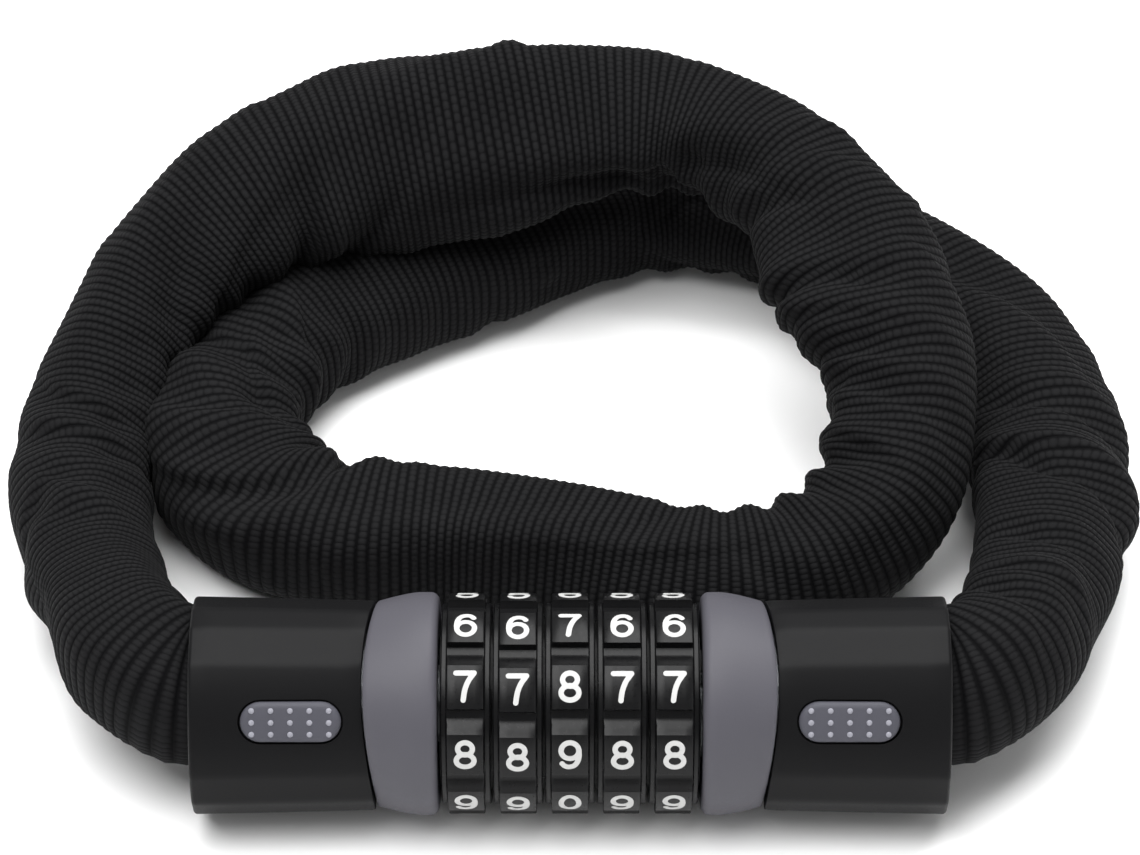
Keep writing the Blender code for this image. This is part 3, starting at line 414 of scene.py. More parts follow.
def smoothCurve(points, steps=12):
    points = [np.array(p) for p in points]
    padded = [2 * points[0] - points[1], *points, 2 * points[-1] - points[-2]]
    found = []
    for a, b, c, d in zip(padded, padded[1:], padded[2:], padded[3:]):
        times = [0.0]
        for start, end in ((a, b), (b, c), (c, d)):
            times.append(times[-1] + sqrt(np.linalg.norm(end - start)))
        t0, t1, t2, t3 = times
        for i in range(steps):
            t = t1 + (t2 - t1) * i / steps
            ab = a + (b - a) * (t - t0) / (t1 - t0)
            bc = b + (c - b) * (t - t1) / (t2 - t1)
            cd = c + (d - c) * (t - t2) / (t3 - t2)
            left = ab + (bc - ab) * (t - t0) / (t2 - t0)
            right = bc + (cd - bc) * (t - t1) / (t3 - t1)
            found.append(left + (right - left) * (t - t1) / (t2 - t1))
    return np.array(found + [points[-1]])


def lengthsAlong(points):
    return np.concatenate([[0], np.cumsum(np.linalg.norm(np.diff(points, axis=0), axis=1))])


def pointsAt(points, travelled, wanted):
    return np.stack([np.interp(wanted, travelled, points[:, k]) for k in range(3)], axis=1)


def smoothed(values, times, wrap=False):
    for _ in range(times):
        if wrap:
            values = 0.25 * np.roll(values, 1, 0) + 0.5 * values + 0.25 * np.roll(values, -1, 0)
        else:
            ends = values[[0, -1]].copy()
            values[1:-1] = 0.25 * values[:-2] + 0.5 * values[1:-1] + 0.25 * values[2:]
            values[[0, -1]] = ends
    return values


def linkPoints():
    # points over the chain's links
    found = []
    for name, node in frame["nodes"].items():
        if not name.startswith("chain_link"):
            continue
        corners = np.array([node.matrix_world @ v.co for v in node.data.vertices])
        ends = corners[np.array([e.vertices[:] for e in node.data.edges])]
        parts = np.linspace(0, 1, 14)[:, None, None]
        found.append((ends[None, :, 0] * (1 - parts) + ends[None, :, 1] * parts).reshape(-1, 3))
    return np.unique(np.round(np.concatenate(found), 4), axis=0)


def pressLinks(ox, oz, centre, side, above, stations):
    # the links press the cloth out where they come near it
    length, angle = np.hypot(ox, oz), np.arctan2(oz, ox)
    for point in linkPoints():
        k = int(np.argmin(((centre - point) ** 2).sum(1)))
        x, z = (point - centre[k]) @ side[k], (point - centre[k]) @ above[k]
        reach = sqrt(x * x + z * z) + sleeve["linkRoom"]
        if reach < sleeve["linkReach"]:
            continue
        near = slice(max(k - 10, 0), k + 11)
        turn = (angle[near] - np.arctan2(z, x) + pi) % (2 * pi) - pi
        apart = (stations[near, None] - stations[k]) ** 2 + (turn * reach) ** 2
        length[near] = np.maximum(length[near], reach - apart / (2 * sleeve["linkRound"]))
    return length * np.cos(angle), length * np.sin(angle)


def sleeveLine():
    # the chain's line moved to where the cloth lies, and each section's place along it
    line = smoothCurve(sleeveRoute)
    travelled = lengthsAlong(line)
    marks = travelled[::12]  # how far along the route's own points are
    table = np.array([(marks[int(row[0])], *row[1:]) for row in sleeveSections])
    moved = [smoothed(np.interp(travelled, table[:, 0], table[:, k]), 40) for k in (4, 5, 6)]
    return line + np.stack(moved, 1) * mm, travelled, marks, table


def sleeveStations(line, travelled, start, end):
    # stations at each rib's valley and crest
    fine = np.linspace(start, end, 4000)
    heading = np.gradient(pointsAt(line, travelled, fine), fine, axis=0)
    heading /= np.linalg.norm(heading, axis=1)[:, None]
    away = smoothed(np.abs(heading[:, 1]) ** 2, 400)
    pitch = sleeve["ribPitch"] + (sleeve["ribPitchAway"] - sleeve["ribPitch"]) * away
    ribs = np.concatenate([[0], np.cumsum(np.diff(fine) / ((pitch[1:] + pitch[:-1]) / 2))])
    ribCount = int(round(ribs[-1]))
    ribs *= ribCount / ribs[-1]
    return np.interp(np.arange(2 * ribCount + 1) / 2, ribs, fine)


def sleeveFrames(line, travelled, stations, fromEnd):
    centre = smoothed(pointsAt(line, travelled, stations), 30)
    ahead = np.gradient(centre, stations, axis=0)
    # the first threads in each cap lie square in its mouth
    square = 1 - np.clip((fromEnd - sleeve["tuck"]) / sleeve["squareLength"], 0, 1)[:, None]
    ahead = ahead * (1 - square) + np.array((-1.0, 0, 0)) * square
    ahead /= np.linalg.norm(ahead, axis=1)[:, None]
    side = np.cross(ahead, (0, 0, 1.0))
    side /= np.linalg.norm(side, axis=1)[:, None]
    return centre, ahead, side, np.cross(side, ahead)


def sleeveWidths(stations, table, fromEnd):
    wide, thick, tilt = (smoothed(np.interp(stations, table[:, 0], table[:, k]), 120) for k in (1, 2, 3))
    neckShare = np.clip((fromEnd - sleeve["tuck"]) / sleeve["neckLength"], 0, 1)
    neckShare = neckShare ** 2 * (3 - 2 * neckShare)
    wide = sleeve["neck"] + (wide * mm - sleeve["neck"]) * neckShare
    thick = sleeve["neck"] + (thick * mm - sleeve["neck"]) * neckShare
    return wide, thick, np.radians(tilt)


def foldHeights(s, a, marks, start, end):
    chosen = [(np.interp(row[0], np.arange(len(marks)), marks), radians(row[1]), radians(row[2]),
               *(v * mm for v in row[3:])) for row in sleeveFolds]
    for _ in range(sleeve["smallFolds"]):
        chosen.append((random.uniform(start + sleeve["foldsFrom"], end - sleeve["foldsFrom"]),
                       random.uniform(0, 2 * pi), random.uniform(radians(35), radians(145)),
                       random.uniform(*sleeve["foldLength"]), random.uniform(*sleeve["foldWidth"]),
                       random.uniform(*sleeve["foldHeight"])))
    folds = np.zeros_like(s)
    for at, about, runs, reach, width, height in chosen:
        ds, dt = s - at, ((a - about + pi) % (2 * pi) - pi) * sleeve["typical"]
        along, over = ds * cos(runs) + dt * sin(runs), dt * cos(runs) - ds * sin(runs)
        over = over + 0.10 * along ** 2 / reach  # folds curve a little
        steep = np.where(over < 0, 0.5 * width, 1.5 * width)  # one side of a fold is steeper
        folds += height * np.exp(-(along / reach) ** 2) * (
            np.exp(-(over / steep) ** 2) - 0.4 * np.exp(-((over - 2.4 * width) / width) ** 2))
    return np.clip(folds, -sleeve["deepest"], sleeve["highest"]) / sleeve["typical"]


def pleatHeights(s, a, ahead, side, above, stations):
    # bends: the cloth bunches on the inside and is drawn tight outside
    curve = smoothed(np.gradient(ahead, stations, axis=0), 60)
    bendSide, bendUp = (curve * side).sum(1), (curve * above).sum(1)
    tight = sleeve["tightBend"]
    inward = np.clip(bendSide[:, None] * np.cos(a) + bendUp[:, None] * np.sin(a), 0, tight) / tight
    wander = 0.9 * np.sin(2 * a + s / 0.02) + 0.6 * np.sin(3 * a - s / 0.031)
    return inward ** 1.2 * sleeve["pleatHeight"] * np.sin(2 * pi * s / sleeve["pleatPitch"] + wander)


def makeSleeve():
    line, travelled, marks, table = sleeveLine()
    start = cap["end"] - sleeve["tuck"] + sleeveRoute[0][0]  # from the chain pin to the sleeve's end
    end = travelled[-1] - start
    stations = sleeveStations(line, travelled, start, end)
    rows, count = len(stations), sleeve["pointsRound"]
    fromEnd = np.minimum(stations - start, end - stations)
    centre, ahead, side, above = sleeveFrames(line, travelled, stations, fromEnd)
    wide, thick, tilt = sleeveWidths(stations, table, fromEnd)
    s, a = np.meshgrid(stations, np.arange(count) * 2 * pi / count, indexing="ij")
    # the tube's section: a soft flattened shape with long facets that wander along the tube
    facets = (sleeve["wideFacets"] * np.cos(3 * a + 7 * np.sin(s / 0.060))
              + sleeve["narrowFacets"] * np.cos(5 * a - s / 0.030 + 1.0))
    links = sleeve["linkSwell"] * np.sin(2 * pi * s / sleeve["linkPitch"]) * np.cos(2 * a)
    pleats = pleatHeights(s, a, ahead, side, above, stations)
    folds = foldHeights(s, a, marks, start, end)
    calm = np.clip((np.minimum(s - start, end - s) - 0.002) / 0.012, 0, 1)  # smooth beside the caps
    radius = 1 + calm * (facets + links + pleats + folds)
    rib = (np.arange(rows) % 2)[:, None] * sleeve["ribHeight"]
    across = wide[:, None] * radius + rib
    up = thick[:, None] * radius + rib
    cx, cz, power = np.cos(a), np.sin(a), sleeve["squareness"]
    ex, ez = np.sign(cx) * np.abs(cx) ** power * across, np.sign(cz) * np.abs(cz) ** power * up
    ct, st = np.cos(tilt)[:, None], np.sin(tilt)[:, None]
    ox, oz = pressLinks(ex * ct - ez * st, ex * st + ez * ct, centre, side, above, stations)
    points = centre[:, None, :] + ox[..., None] * side[:, None, :] + oz[..., None] * above[:, None, :]
    # the underside flattens where it lies
    low, rest, gap = points[..., 2], sleeve["floorRound"], sleeve["floorGap"]
    pressed = gap + (rest - gap) * np.exp(np.minimum(low - rest, 0) / (rest - gap))
    points[..., 2] = np.where(low < rest, pressed, low)
    tube = meshObject("sleeve", points.reshape(-1, 3), ringFaces(rows, count), cloth)
    layUv(tube, rows, count)
    return tube, line, travelled, stations, rows, count


def layUv(tube, rows, count):
    # the weave runs with the tube: ribs along u, beads along v
    mesh = tube.data
    layer = mesh.uv_layers.new(name="weave")
    corner = np.zeros(len(mesh.loops), int)
    mesh.loops.foreach_get("vertex_index", corner)
    row, column = corner // count, corner % count
    quad = np.arange(len(corner)) // 4
    column = column.reshape(-1, 4)
    wraps = (column.max(1) - column.min(1)) > count / 2
    column = np.where(wraps[:, None] & (column < count / 2), column + count, column).reshape(-1)
    uv = np.stack([row / 2, column * sleeve["beadsRound"] / count], axis=1)
    layer.data.foreach_set("uv", uv.astype(np.float32).ravel())


def rideSleeve(tube, line, travelled, stations, rows, count):
    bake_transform(tube)
    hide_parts("sleeve_body_side", "sleeve_plug_side")


rideSleeve(*makeSleeve())
print("sleeve made")


seam = {"reach": 0.02885, "bow": 0.00085, "gap": 0.00015}
ring = {"face": 0.018975, "radius": 0.0162, "endRadius": 0.0149, "edge": 0.0013, "straight": 0.0030, "bore": 0.0100,
        "lip": 0.0026, "columns": 180}
pad = {"centre": 0.03985, "length": 0.01445, "width": 0.00585, "top": 0.0149, "floor": 0.0134, "gap": 0.0003,
       "edge": 0.0007, "crown": 0.00012, "recessDepth": 0.004, "recessFlare": 0.00025,
       "dotPitchX": 0.00276, "dotPitchY": 0.00171, "dotRadius": 0.00042, "dotHeight": 0.00022}


def seamX(angle, offset):
    return seam["reach"] + seam["bow"] * cos(radians(2 * (angle - codeAngle))) + offset


def capSection(face, corner, angles):
    # radius at each angle of three crowned faces with flat facets between them
    back = cap["crown"] - face
    corners = []
    for middle in cap["faceAngles"]:
        for off in np.linspace(-cap["faceHalf"], cap["faceHalf"], 41):
            crown = sqrt(cap["crown"] ** 2 - (back * sin(radians(off))) ** 2)
            corners.append((middle + off, crown - back * cos(radians(off))))
        for off in (cap["faceHalf"] + cap["facet"], 120 - cap["faceHalf"] - cap["facet"]):
            corners.append((middle + off, corner))
    corners.sort()
    flat = [(r * cos(radians(t)), r * sin(radians(t))) for t, r in corners]
    found = []
    ends = [t for t, _ in corners]
    for angle in angles:
        t = (angle - ends[0]) % 360 + ends[0]
        k = int(np.searchsorted(ends, t, side="right")) - 1
        (x0, y0), (x1, y1) = flat[k], flat[(k + 1) % len(flat)]
        c, s = cos(radians(t)), sin(radians(t))
        cross = (x1 - x0) * s - (y1 - y0) * c
        found.append((x1 * y0 - x0 * y1) / cross)
    return np.array(found)


def makeCap(name, direction):
    count = cap["columns"]
    angles = np.arange(count) * 360 / count
    atRing = smoothed(capSection(cap["faceAtRing"], cap["cornerAtRing"], angles), 3, wrap=True)
    atEnd = smoothed(capSection(cap["faceAtEnd"], cap["cornerAtEnd"], angles), 1, wrap=True)
    start = np.array([seamX(t, seam["gap"]) for t in angles])
    rows = []
    for share in (0.02, 0.1, 0.2, 0.3, 0.4, 0.5, 0.6, 0.7, 0.8, 0.9, 1.0):
        eased = share ** 0.8
        x = start + (cap["end"] - cap["endRound"] - start) * share
        rows.append((x, atRing + (atEnd - atRing) * eased))
    rows.insert(0, (start + 0.00005, atRing - 0.00008))
    rows.insert(0, (start, atRing - 0.0003))
    rounding = cap["endRound"]
    for turn in (22.5, 45, 67.5, 90):
        t = radians(turn)
        rows.append((np.full(count, cap["end"] - rounding + rounding * sin(t)),
                     atEnd - rounding + rounding * cos(t)))
    for share in (0.33, 0.66):
        rows.append((np.full(count, cap["end"]), (atEnd - rounding) * (1 - share) + cap["mouth"] * share))
    rounding = cap["mouthRound"]
    for turn in (0, 30, 60, 90):
        t = radians(turn)
        rows.append((np.full(count, cap["end"] - rounding + rounding * cos(t)),
                     np.full(count, cap["mouth"] + rounding - rounding * sin(t))))
    rows.append((np.full(count, cap["end"] - cap["wall"]), np.full(count, cap["mouth"])))
    rows.append((np.full(count, cap["end"] - cap["wall"]), atEnd - cap["wall"]))
    rows.append((start, atRing - cap["wall"]))
    points = [aboutAxis(direction * x, r, t) for xs, rs in rows for x, r, t in zip(xs, rs, angles)]
    made = meshObject(name, points, ringFaces(len(rows), count, closed=True), grainedAbs)
    cutter = padBlock("padRecess", direction, pad["gap"], pad["floor"],
                      pad["top"] + pad["recessDepth"], pad["recessFlare"])
    cut = made.modifiers.new("Recess", "BOOLEAN")
    cut.operation, cut.solver, cut.object = "DIFFERENCE", "EXACT", cutter
    bpy.context.view_layer.update()
    mesh = bpy.data.meshes.new_from_object(made.evaluated_get(bpy.context.evaluated_depsgraph_get()))
    bpy.data.objects.remove(made)
    bpy.data.objects.remove(cutter)
    mesh.name = name
    made = bpy.data.objects.new(name, mesh)
    bpy.context.scene.collection.objects.link(made)
    mesh.materials.clear()
    mesh.materials.append(grainedAbs)
    smoothShade(mesh, 26)
    return made


def stadiumPoints(length, width, steps=14):
    radius, straight = width / 2, (length - width) / 2
    points = []
    for sign in (1, -1):
        for i in range(steps + 1):
            t = pi * (i / steps - 0.5)
            points.append((sign * (straight + radius * cos(t)), sign * radius * sin(t)))
    return points


def padPlace(direction, x, y, radius):
    # a point over the pad's face: x along the lock, y up the face, at this distance from the axis
    out = Vector((0, -cos(radians(cap["faceAngles"][0])), sin(radians(cap["faceAngles"][0]))))
    rise = Vector((1, 0, 0)).cross(out) * -1
    return Vector((direction * pad["centre"] + x, 0, axisZ)) + rise * y + out * radius


def padBlock(name, direction, margin, low, high, flare=0.0):
    loops = [(low, 0.0)]
    loops += [(pad["top"] - 0.0003, 0.0), (pad["top"] + 0.0002, flare)] if flare else []
    loops.append((high, flare + (0.002 if flare else 0)))
    points, count = [], 0
    for radius, grow in loops:
        outline = stadiumPoints(pad["length"] + 2 * (margin + grow), pad["width"] + 2 * (margin + grow))
        count = len(outline)
        points += [padPlace(direction, x, y, radius) for x, y in outline]
    faces = ringFaces(len(loops), count)
    faces.append(tuple(range(count)))
    faces.append(tuple(range(len(points) - count, len(points))))
    return meshObject(name, points, faces, gripRubber)


def makePad(name, direction):
    # a low crowned slot shape with rounded edges
    rounding, steps = pad["edge"], 5
    rows = [(pad["floor"] + pad["gap"], 0.0)]
    for i in range(steps + 1):
        t = radians(90 * i / steps)
        rows.append((pad["top"] - rounding + rounding * sin(t), rounding * (1 - cos(t))))
    for inset in (0.0011, 0.0017, 0.0023, 0.0027):
        rows.append((pad["top"], inset))
    points, count = [], 0
    for radius, inset in rows:
        outline = stadiumPoints(pad["length"] - 2 * inset, pad["width"] - 2 * inset)
        count = len(outline)
        for x, y in outline:
            crown = pad["crown"] * (1 - (2 * y / pad["width"]) ** 2) if radius == pad["top"] else 0.0
            points.append(padPlace(direction, x, y, radius + crown))
    faces = ringFaces(len(rows), count)
    faces.append(tuple(range(count)))
    half = count // 2
    last = len(points) - count
    for i in range(half - 1):
        faces.append((last + i, last + i + 1, last + count - 2 - i, last + count - 1 - i))
    return meshObject(name, points, faces, gripRubber, 40)


def dotTree():
    # round grip dots in rows: a grid of points, each with a flattened dome
    tree, given = newTree("gripDots", (("Pitch X", "Float"), ("Pitch Y", "Float"), ("Radius", "Float"),
                                       ("Height", "Float"), ("Finish", "Material")))
    sizeX = addNode(tree, "ShaderNodeMath", {0: given["Pitch X"], 1: 4.0}, operation="MULTIPLY")
    sizeY = addNode(tree, "ShaderNodeMath", {0: given["Pitch Y"], 1: 2.0}, operation="MULTIPLY")
    grid = addNode(tree, "GeometryNodeMeshGrid",
                   {"Size X": sizeX, "Size Y": sizeY, "Vertices X": 5, "Vertices Y": 3})
    ball = addNode(tree, "GeometryNodeMeshUVSphere", {"Segments": 20, "Rings": 12, "Radius": 1.0})
    size = addNode(tree, "ShaderNodeCombineXYZ", {0: given["Radius"], 1: given["Radius"], 2: given["Height"]})
    dots = addNode(tree, "GeometryNodeInstanceOnPoints", {"Points": grid, "Instance": ball, "Scale": size})
    real = addNode(tree, "GeometryNodeRealizeInstances", {0: dots})
    smooth = addNode(tree, "GeometryNodeSetShadeSmooth", {0: real})
    finish = addNode(tree, "GeometryNodeSetMaterial", {0: smooth, "Material": given["Finish"]})
    addNode(tree, "NodeGroupOutput", {0: finish})
    return tree


def makeDots(name, direction, tree):
    source = bpy.data.objects.new(name, bpy.data.meshes.new(name))
    bpy.context.scene.collection.objects.link(source)
    mesh = treeResult(source, tree, {"Pitch X": pad["dotPitchX"], "Pitch Y": pad["dotPitchY"],
                                     "Radius": pad["dotRadius"], "Height": pad["dotHeight"], "Finish": gripDots})
    for vertex in mesh.vertices:
        x, y, z = vertex.co
        crown = pad["crown"] * (1 - (2 * y / pad["width"]) ** 2)
        vertex.co = padPlace(direction, x, y, pad["top"] + crown + z)
    mesh.name = name
    made = bpy.data.objects.new(name, mesh)
    bpy.context.scene.collection.objects.link(made)
    facesOut(mesh)
    smoothShade(mesh, None)
    return made


def makeRing(name, direction):
    count = ring["columns"]
    angles = np.arange(count) * 360 / count
    end = np.array([seamX(t, -seam["gap"]) for t in angles])
    full, edge = ring["radius"], ring["edge"]
    rows = [(np.full(count, ring["face"]), ring["bore"]), (np.full(count, ring["face"]), full - edge - 0.001)]
    for turn in (0, 15, 30, 45, 60, 75, 90):
        t = radians(turn)
        rows.append((np.full(count, ring["face"] + edge - edge * cos(t)), full - edge + edge * sin(t)))
    straight = ring["face"] + ring["straight"]
    for share in (0, 0.15, 0.3, 0.45, 0.6, 0.75, 0.9, 0.97):
        rows.append((straight + (end - straight) * share, full - (full - ring["endRadius"]) * share ** 1.35))
    rows.append((end, ring["endRadius"] - 0.0001))
    rows.append((end, ring["endRadius"] - ring["lip"]))
    rows.append((np.full(count, ring["face"] + 0.0020), ring["endRadius"] - ring["lip"]))
    rows.append((np.full(count, ring["face"] + 0.0014), ring["bore"]))
    points = [aboutAxis(direction * x, r, t) for xs, r in rows for x, t in zip(xs, angles)]
    return meshObject(name, points, ringFaces(len(rows), count, closed=True), satinNylon, 35)


dots = dotTree()
for label, direction, body in (("body", -1, "lock_body"), ("plug", 1, "plug")):
    addPiece(makeCap(label + "_end_cap", direction), body, "cap_plastic", label + "_cover")
    addPiece(makeRing(label + "_ring", direction), body, "grey_plastic", label + "_trim_ring")
    addPiece(makePad(label + "_pad", direction), body, "pad_rubber", label + "_grip_pad")
    addPiece(makeDots(label + "_pad_dots", direction, dots), body, "pad_rubber")
print("caps, rings and pads made")


dial = {
    "pitch": 0.00747, "radius": 0.0160, "band": 0.00527, "width": 0.00717, "shoulder": 0.00145, "bore": 0.0101,
    "hub": 0.0125, "hubGap": 0.00003,  # the hubs fill the gaps between dials
    "notchHalf": 6.5, "notchDepth": 0.0012, "notchSlope": 7.6, "notchWall": 0.9, "edge": 0.0002,
    "readings": (7, 7, 8, 7, 7),
    "turned": (0.0, -1.5, 0.0, -0.3, -0.2),  # small errors in how the dials were left
    "numeralHeight": 0.0048, "inkDepth": 0.00005, "stroke": 0.00076, "numeralCell": 0.00014,
}


def dialAngles():
    # angle and trough share of each column in one tenth of a turn, from a number's middle to the next
    half, slope, wall = dial["notchHalf"], dial["notchSlope"], dial["notchWall"]
    pads = np.linspace(-(18 - half), 18 - half, 13)
    columns = [(t, 0.0) for t in pads[:-1]] + [(pads[-1] - 0.35, 0.0), (pads[-1], 0.06)]
    columns += [(pads[-1] + slope * share, 0.06 + 0.94 * share) for share in (0.25, 0.5, 0.75, 1.0)]
    columns += [(t, 1.0) for t in np.linspace(pads[-1] + slope + 0.6, 36 + pads[0] - wall - 0.6, 3)]
    columns += [(36 + pads[0] - wall, 1.0), (36 + pads[0] - 0.5 * wall, 0.55), (36 + pads[0] - 0.0001, 0.06)]
    return columns


def makeDial(index):
    x0 = (index - 2) * dial["pitch"]
    band, half, edge = dial["band"] / 2, dial["width"] / 2, dial["edge"]
    full, low = dial["radius"], dial["radius"] - dial["shoulder"]
    hub = dial["pitch"] / 2 - dial["hubGap"]
    # half of the section: place along the axis, radius, and 1 on the band that the troughs cut
    profile = [(-hub, dial["bore"], 0), (-hub, dial["hub"], 0), (-half, dial["hub"], 0), (-half, low - edge, 0),
               (-half + edge, low, 0), (-band - edge, low, 0), (-band, low + edge, 0), (-band, full - edge, 1),
               (-band + 0.3 * edge, full - 0.3 * edge, 1), (-band + edge, full, 1), (-band / 2, full, 1),
               (0, full, 1)]
    profile += [(-x, r, k) for x, r, k in reversed(profile[:-1])]
    columns = []
    for tenth in range(10):
        columns += [(codeAngle + 36 * tenth + t, share, t) for t, share in dialAngles()]
    points = []
    for x, r, onBand in profile:
        for angle, share, t in columns:
            floor = (full - dial["notchDepth"]) / cos(radians(t - 18 if t > 0 else t + 18)) if share else 0
            radius = r + (min(r, floor) - r) * share if onBand else r
            points.append(aboutAxis(x0 + x, radius, angle + dial["turned"][index]))
    faces = ringFaces(len(profile), len(columns), closed=True)
    return meshObject(f"dial_ring_{index + 1}", points, faces, dialAcetal, 30)


def arc(x, y, rx, ry, start=0, end=360, steps=28):
    turns = np.radians(np.linspace(start, end, steps))
    return np.stack([x + rx * np.cos(turns), y + ry * np.sin(turns)], 1)


def bend(*points):
    return smoothCurve([(x, y, 0) for x, y in points], 6)[:, :2]


six = (arc(0, -0.145, 0.265, 0.26),
       bend((0.235, 0.285), (0.15, 0.375), (0.02, 0.405), (-0.14, 0.345), (-0.235, 0.19), (-0.27, 0.0),
            (-0.265, -0.145)))
# centre lines of each numeral's strokes, for a numeral one unit tall
numeralStrokes = (
    (arc(0, 0, 0.265, 0.405),),
    (np.array([(0.05, -0.405), (0.05, 0.405), (-0.14, 0.24)]),),
    (bend((-0.26, 0.17), (-0.22, 0.32), (-0.03, 0.405), (0.19, 0.34), (0.245, 0.18), (0.15, 0.0), (-0.08, -0.19),
          (-0.255, -0.405)), np.array([(-0.255, -0.405), (0.265, -0.405)])),
    (bend((-0.25, 0.23), (-0.17, 0.37), (0.0, 0.405), (0.19, 0.34), (0.23, 0.21), (0.15, 0.07), (-0.02, 0.035)),
     bend((-0.02, 0.035), (0.18, -0.01), (0.27, -0.17), (0.2, -0.345), (0.0, -0.405), (-0.19, -0.355),
          (-0.265, -0.2))),
    (np.array([(0.11, -0.405), (0.11, 0.405), (-0.28, -0.17), (0.28, -0.17)]),),
    (np.array([(0.23, 0.405), (-0.18, 0.405), (-0.225, 0.02)]),
     bend((-0.225, 0.02), (-0.07, 0.1), (0.1, 0.095), (0.25, -0.02), (0.26, -0.2), (0.15, -0.365), (-0.03, -0.405),
          (-0.2, -0.35), (-0.26, -0.24))),
    six,
    (np.array([(-0.27, 0.405), (0.27, 0.405)]), bend((0.27, 0.405), (0.1, 0.16), (0.0, -0.1), (-0.05, -0.405))),
    (arc(0, 0.205, 0.22, 0.2), arc(0, -0.19, 0.265, 0.215)),
    tuple(-stroke for stroke in six),
)


def insideOf(corners, values):
    # the part of a triangle where the value is under zero
    kept = []
    for i in range(3):
        j = (i + 1) % 3
        if values[i] < 0:
            kept.append(corners[i])
        if (values[i] < 0) != (values[j] < 0):
            kept.append(corners[i] + (corners[j] - corners[i]) * values[i] / (values[i] - values[j]))
    return kept


def numeralMesh(digit):
    # one numeral with round stroke ends, cut fine and bent to the dial's round, standing at angle zero
    step, tall = dial["numeralCell"], dial["numeralHeight"]
    xs = np.arange(-0.42 * tall, 0.42 * tall, step)
    ys = np.arange(-0.54 * tall, 0.54 * tall, step)
    grid = np.stack(np.meshgrid(xs, ys, indexing="ij"), -1)
    reach = np.full(grid.shape[:2], 1.0)
    for stroke in numeralStrokes[digit]:
        for a, b in zip(stroke[:-1] * tall, stroke[1:] * tall):
            share = np.clip(((grid - a) @ (b - a)) / ((b - a) @ (b - a)), 0, 1)
            reach = np.minimum(reach, np.linalg.norm(grid - a - share[..., None] * (b - a), axis=-1))
    reach -= dial["stroke"] / 2
    shape = bmesh.new()
    for i in range(len(xs) - 1):
        for j in range(len(ys) - 1):
            if reach[i:i + 2, j:j + 2].min() >= 0:
                continue
            for trio in (((i, j), (i + 1, j), (i + 1, j + 1)), ((i, j), (i + 1, j + 1), (i, j + 1))):
                kept = insideOf([grid[k] for k in trio], [reach[k] for k in trio])
                if len(kept) > 2:
                    shape.faces.new([shape.verts.new((*p, 0)) for p in kept])
    bmesh.ops.remove_doubles(shape, verts=shape.verts, dist=2e-6)
    bmesh.ops.dissolve_degenerate(shape, edges=shape.edges, dist=2e-6)
    made = bmesh.ops.extrude_face_region(shape, geom=shape.faces[:])
    raised = {v for v in made["geom"] if isinstance(v, bmesh.types.BMVert)}
    for v in shape.verts:
        x, y = v.co.x, v.co.y
        radius = dial["radius"] + (dial["inkDepth"] if v in raised else -0.0001)
        v.co = (x, -cos(y / dial["radius"]) * radius, sin(y / dial["radius"]) * radius)
    bmesh.ops.recalc_face_normals(shape, faces=shape.faces)
    mesh = bpy.data.meshes.new(f"numeral_{digit}")
    shape.to_mesh(mesh)
    shape.free()
    mesh.materials.append(whiteInk)
    return mesh


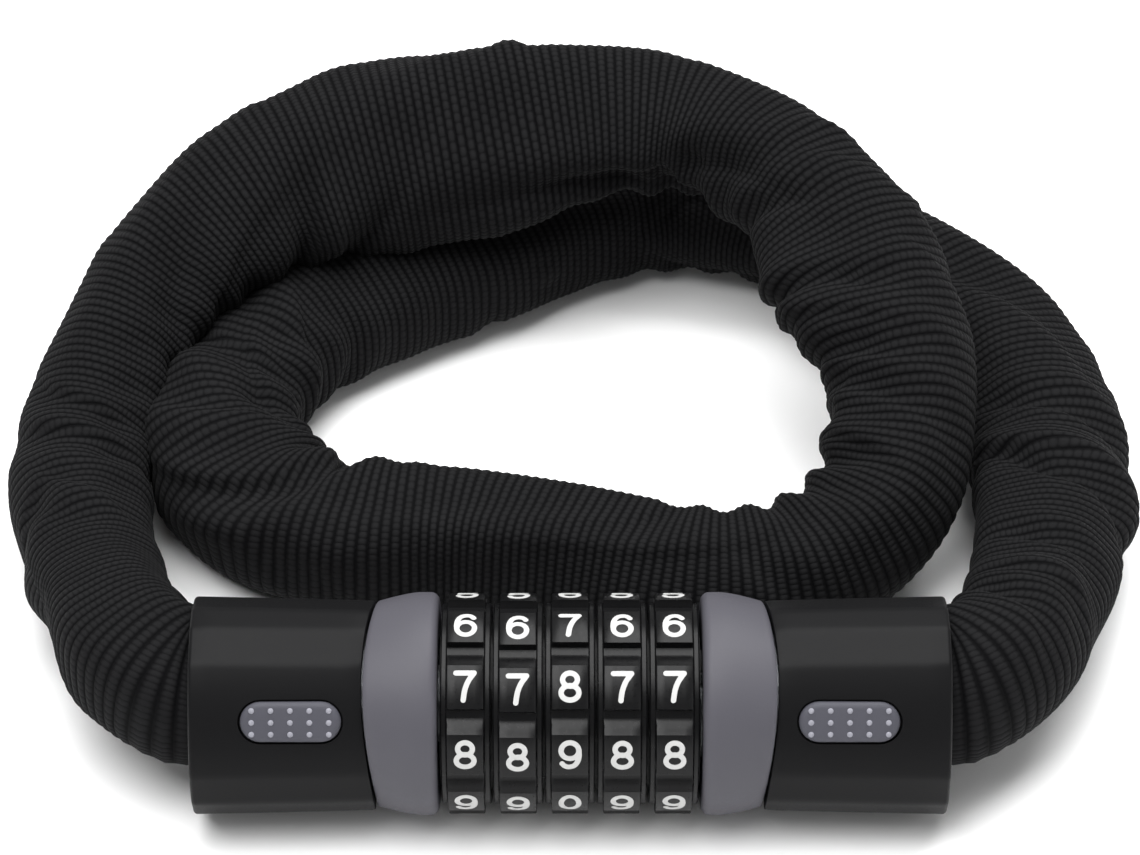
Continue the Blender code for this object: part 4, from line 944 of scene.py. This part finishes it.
def numeralTree():
    # ten numerals about the dial's axis, counting down as the angle grows
    tree, given = newTree("numeralRing", (("Numerals", "Collection"), ("Reading", "Int"), ("Angle", "Float"),
                                          ("Finish", "Material")))
    spots = addNode(tree, "GeometryNodePoints", {"Count": 10})
    order = addNode(tree, "GeometryNodeInputIndex")
    down = addNode(tree, "ShaderNodeMath", {0: given["Reading"], 1: order}, operation="SUBTRACT")
    chosen = addNode(tree, "ShaderNodeMath", {0: down, 1: 10.0, 2: 0.0}, operation="WRAP")
    step = addNode(tree, "ShaderNodeMath", {0: order, 1: radians(36), 2: given["Angle"]}, operation="MULTIPLY_ADD")
    back = addNode(tree, "ShaderNodeMath", {0: step, 1: -1.0}, operation="MULTIPLY")
    turn = addNode(tree, "ShaderNodeCombineXYZ", {0: back})
    shapes = addNode(tree, "GeometryNodeCollectionInfo", {"Collection": given["Numerals"],
                                                         "Separate Children": True, "Reset Children": True})
    placed = addNode(tree, "GeometryNodeInstanceOnPoints", {
        "Points": spots, "Instance": shapes, "Pick Instance": True, "Instance Index": chosen, "Rotation": turn})
    real = addNode(tree, "GeometryNodeRealizeInstances", {0: placed})
    finish = addNode(tree, "GeometryNodeSetMaterial", {0: real, "Material": given["Finish"]})
    addNode(tree, "NodeGroupOutput", {0: finish})
    return tree


def makeNumerals(index, tree, shapes):
    source = bpy.data.objects.new("numerals", bpy.data.meshes.new("numerals"))
    bpy.context.scene.collection.objects.link(source)
    angle = radians(codeAngle + dial["turned"][index])
    mesh = treeResult(source, tree, {"Numerals": shapes, "Reading": dial["readings"][index], "Angle": angle,
                                     "Finish": whiteInk})
    mesh.transform(Matrix.Translation(((index - 2) * dial["pitch"], 0, axisZ)))
    mesh.name = f"dial_numbers_{index + 1}"
    made = bpy.data.objects.new(mesh.name, mesh)
    bpy.context.scene.collection.objects.link(made)
    smoothShade(mesh, 40)
    return made


numeralShapes = bpy.data.collections.new("numerals")
for digit in range(10):
    numeralShapes.objects.link(bpy.data.objects.new(f"numeral_{digit}", numeralMesh(digit)))
numerals = numeralTree()
for index in range(5):
    body = f"dial_{index + 1}_set"
    addPiece(makeDial(index), body, "dial_plastic", f"dial_{index + 1}")
    addPiece(makeNumerals(index, numerals, numeralShapes), body, "dial_plastic")
for shape in list(numeralShapes.objects):
    bpy.data.objects.remove(shape)
bpy.data.collections.remove(numeralShapes)
print("dials made")


nodeFinish = {"body_core": castZinc, "plug_core": castZinc, "dial_barrel": castZinc}
for name, node in frame["nodes"].items():
    finish = nodeFinish.get(name, turnedBrass if name.startswith("code_ring") else platedSteel)
    node.data.materials.clear()
    node.data.materials.append(finish)
print("metal pieces finished")
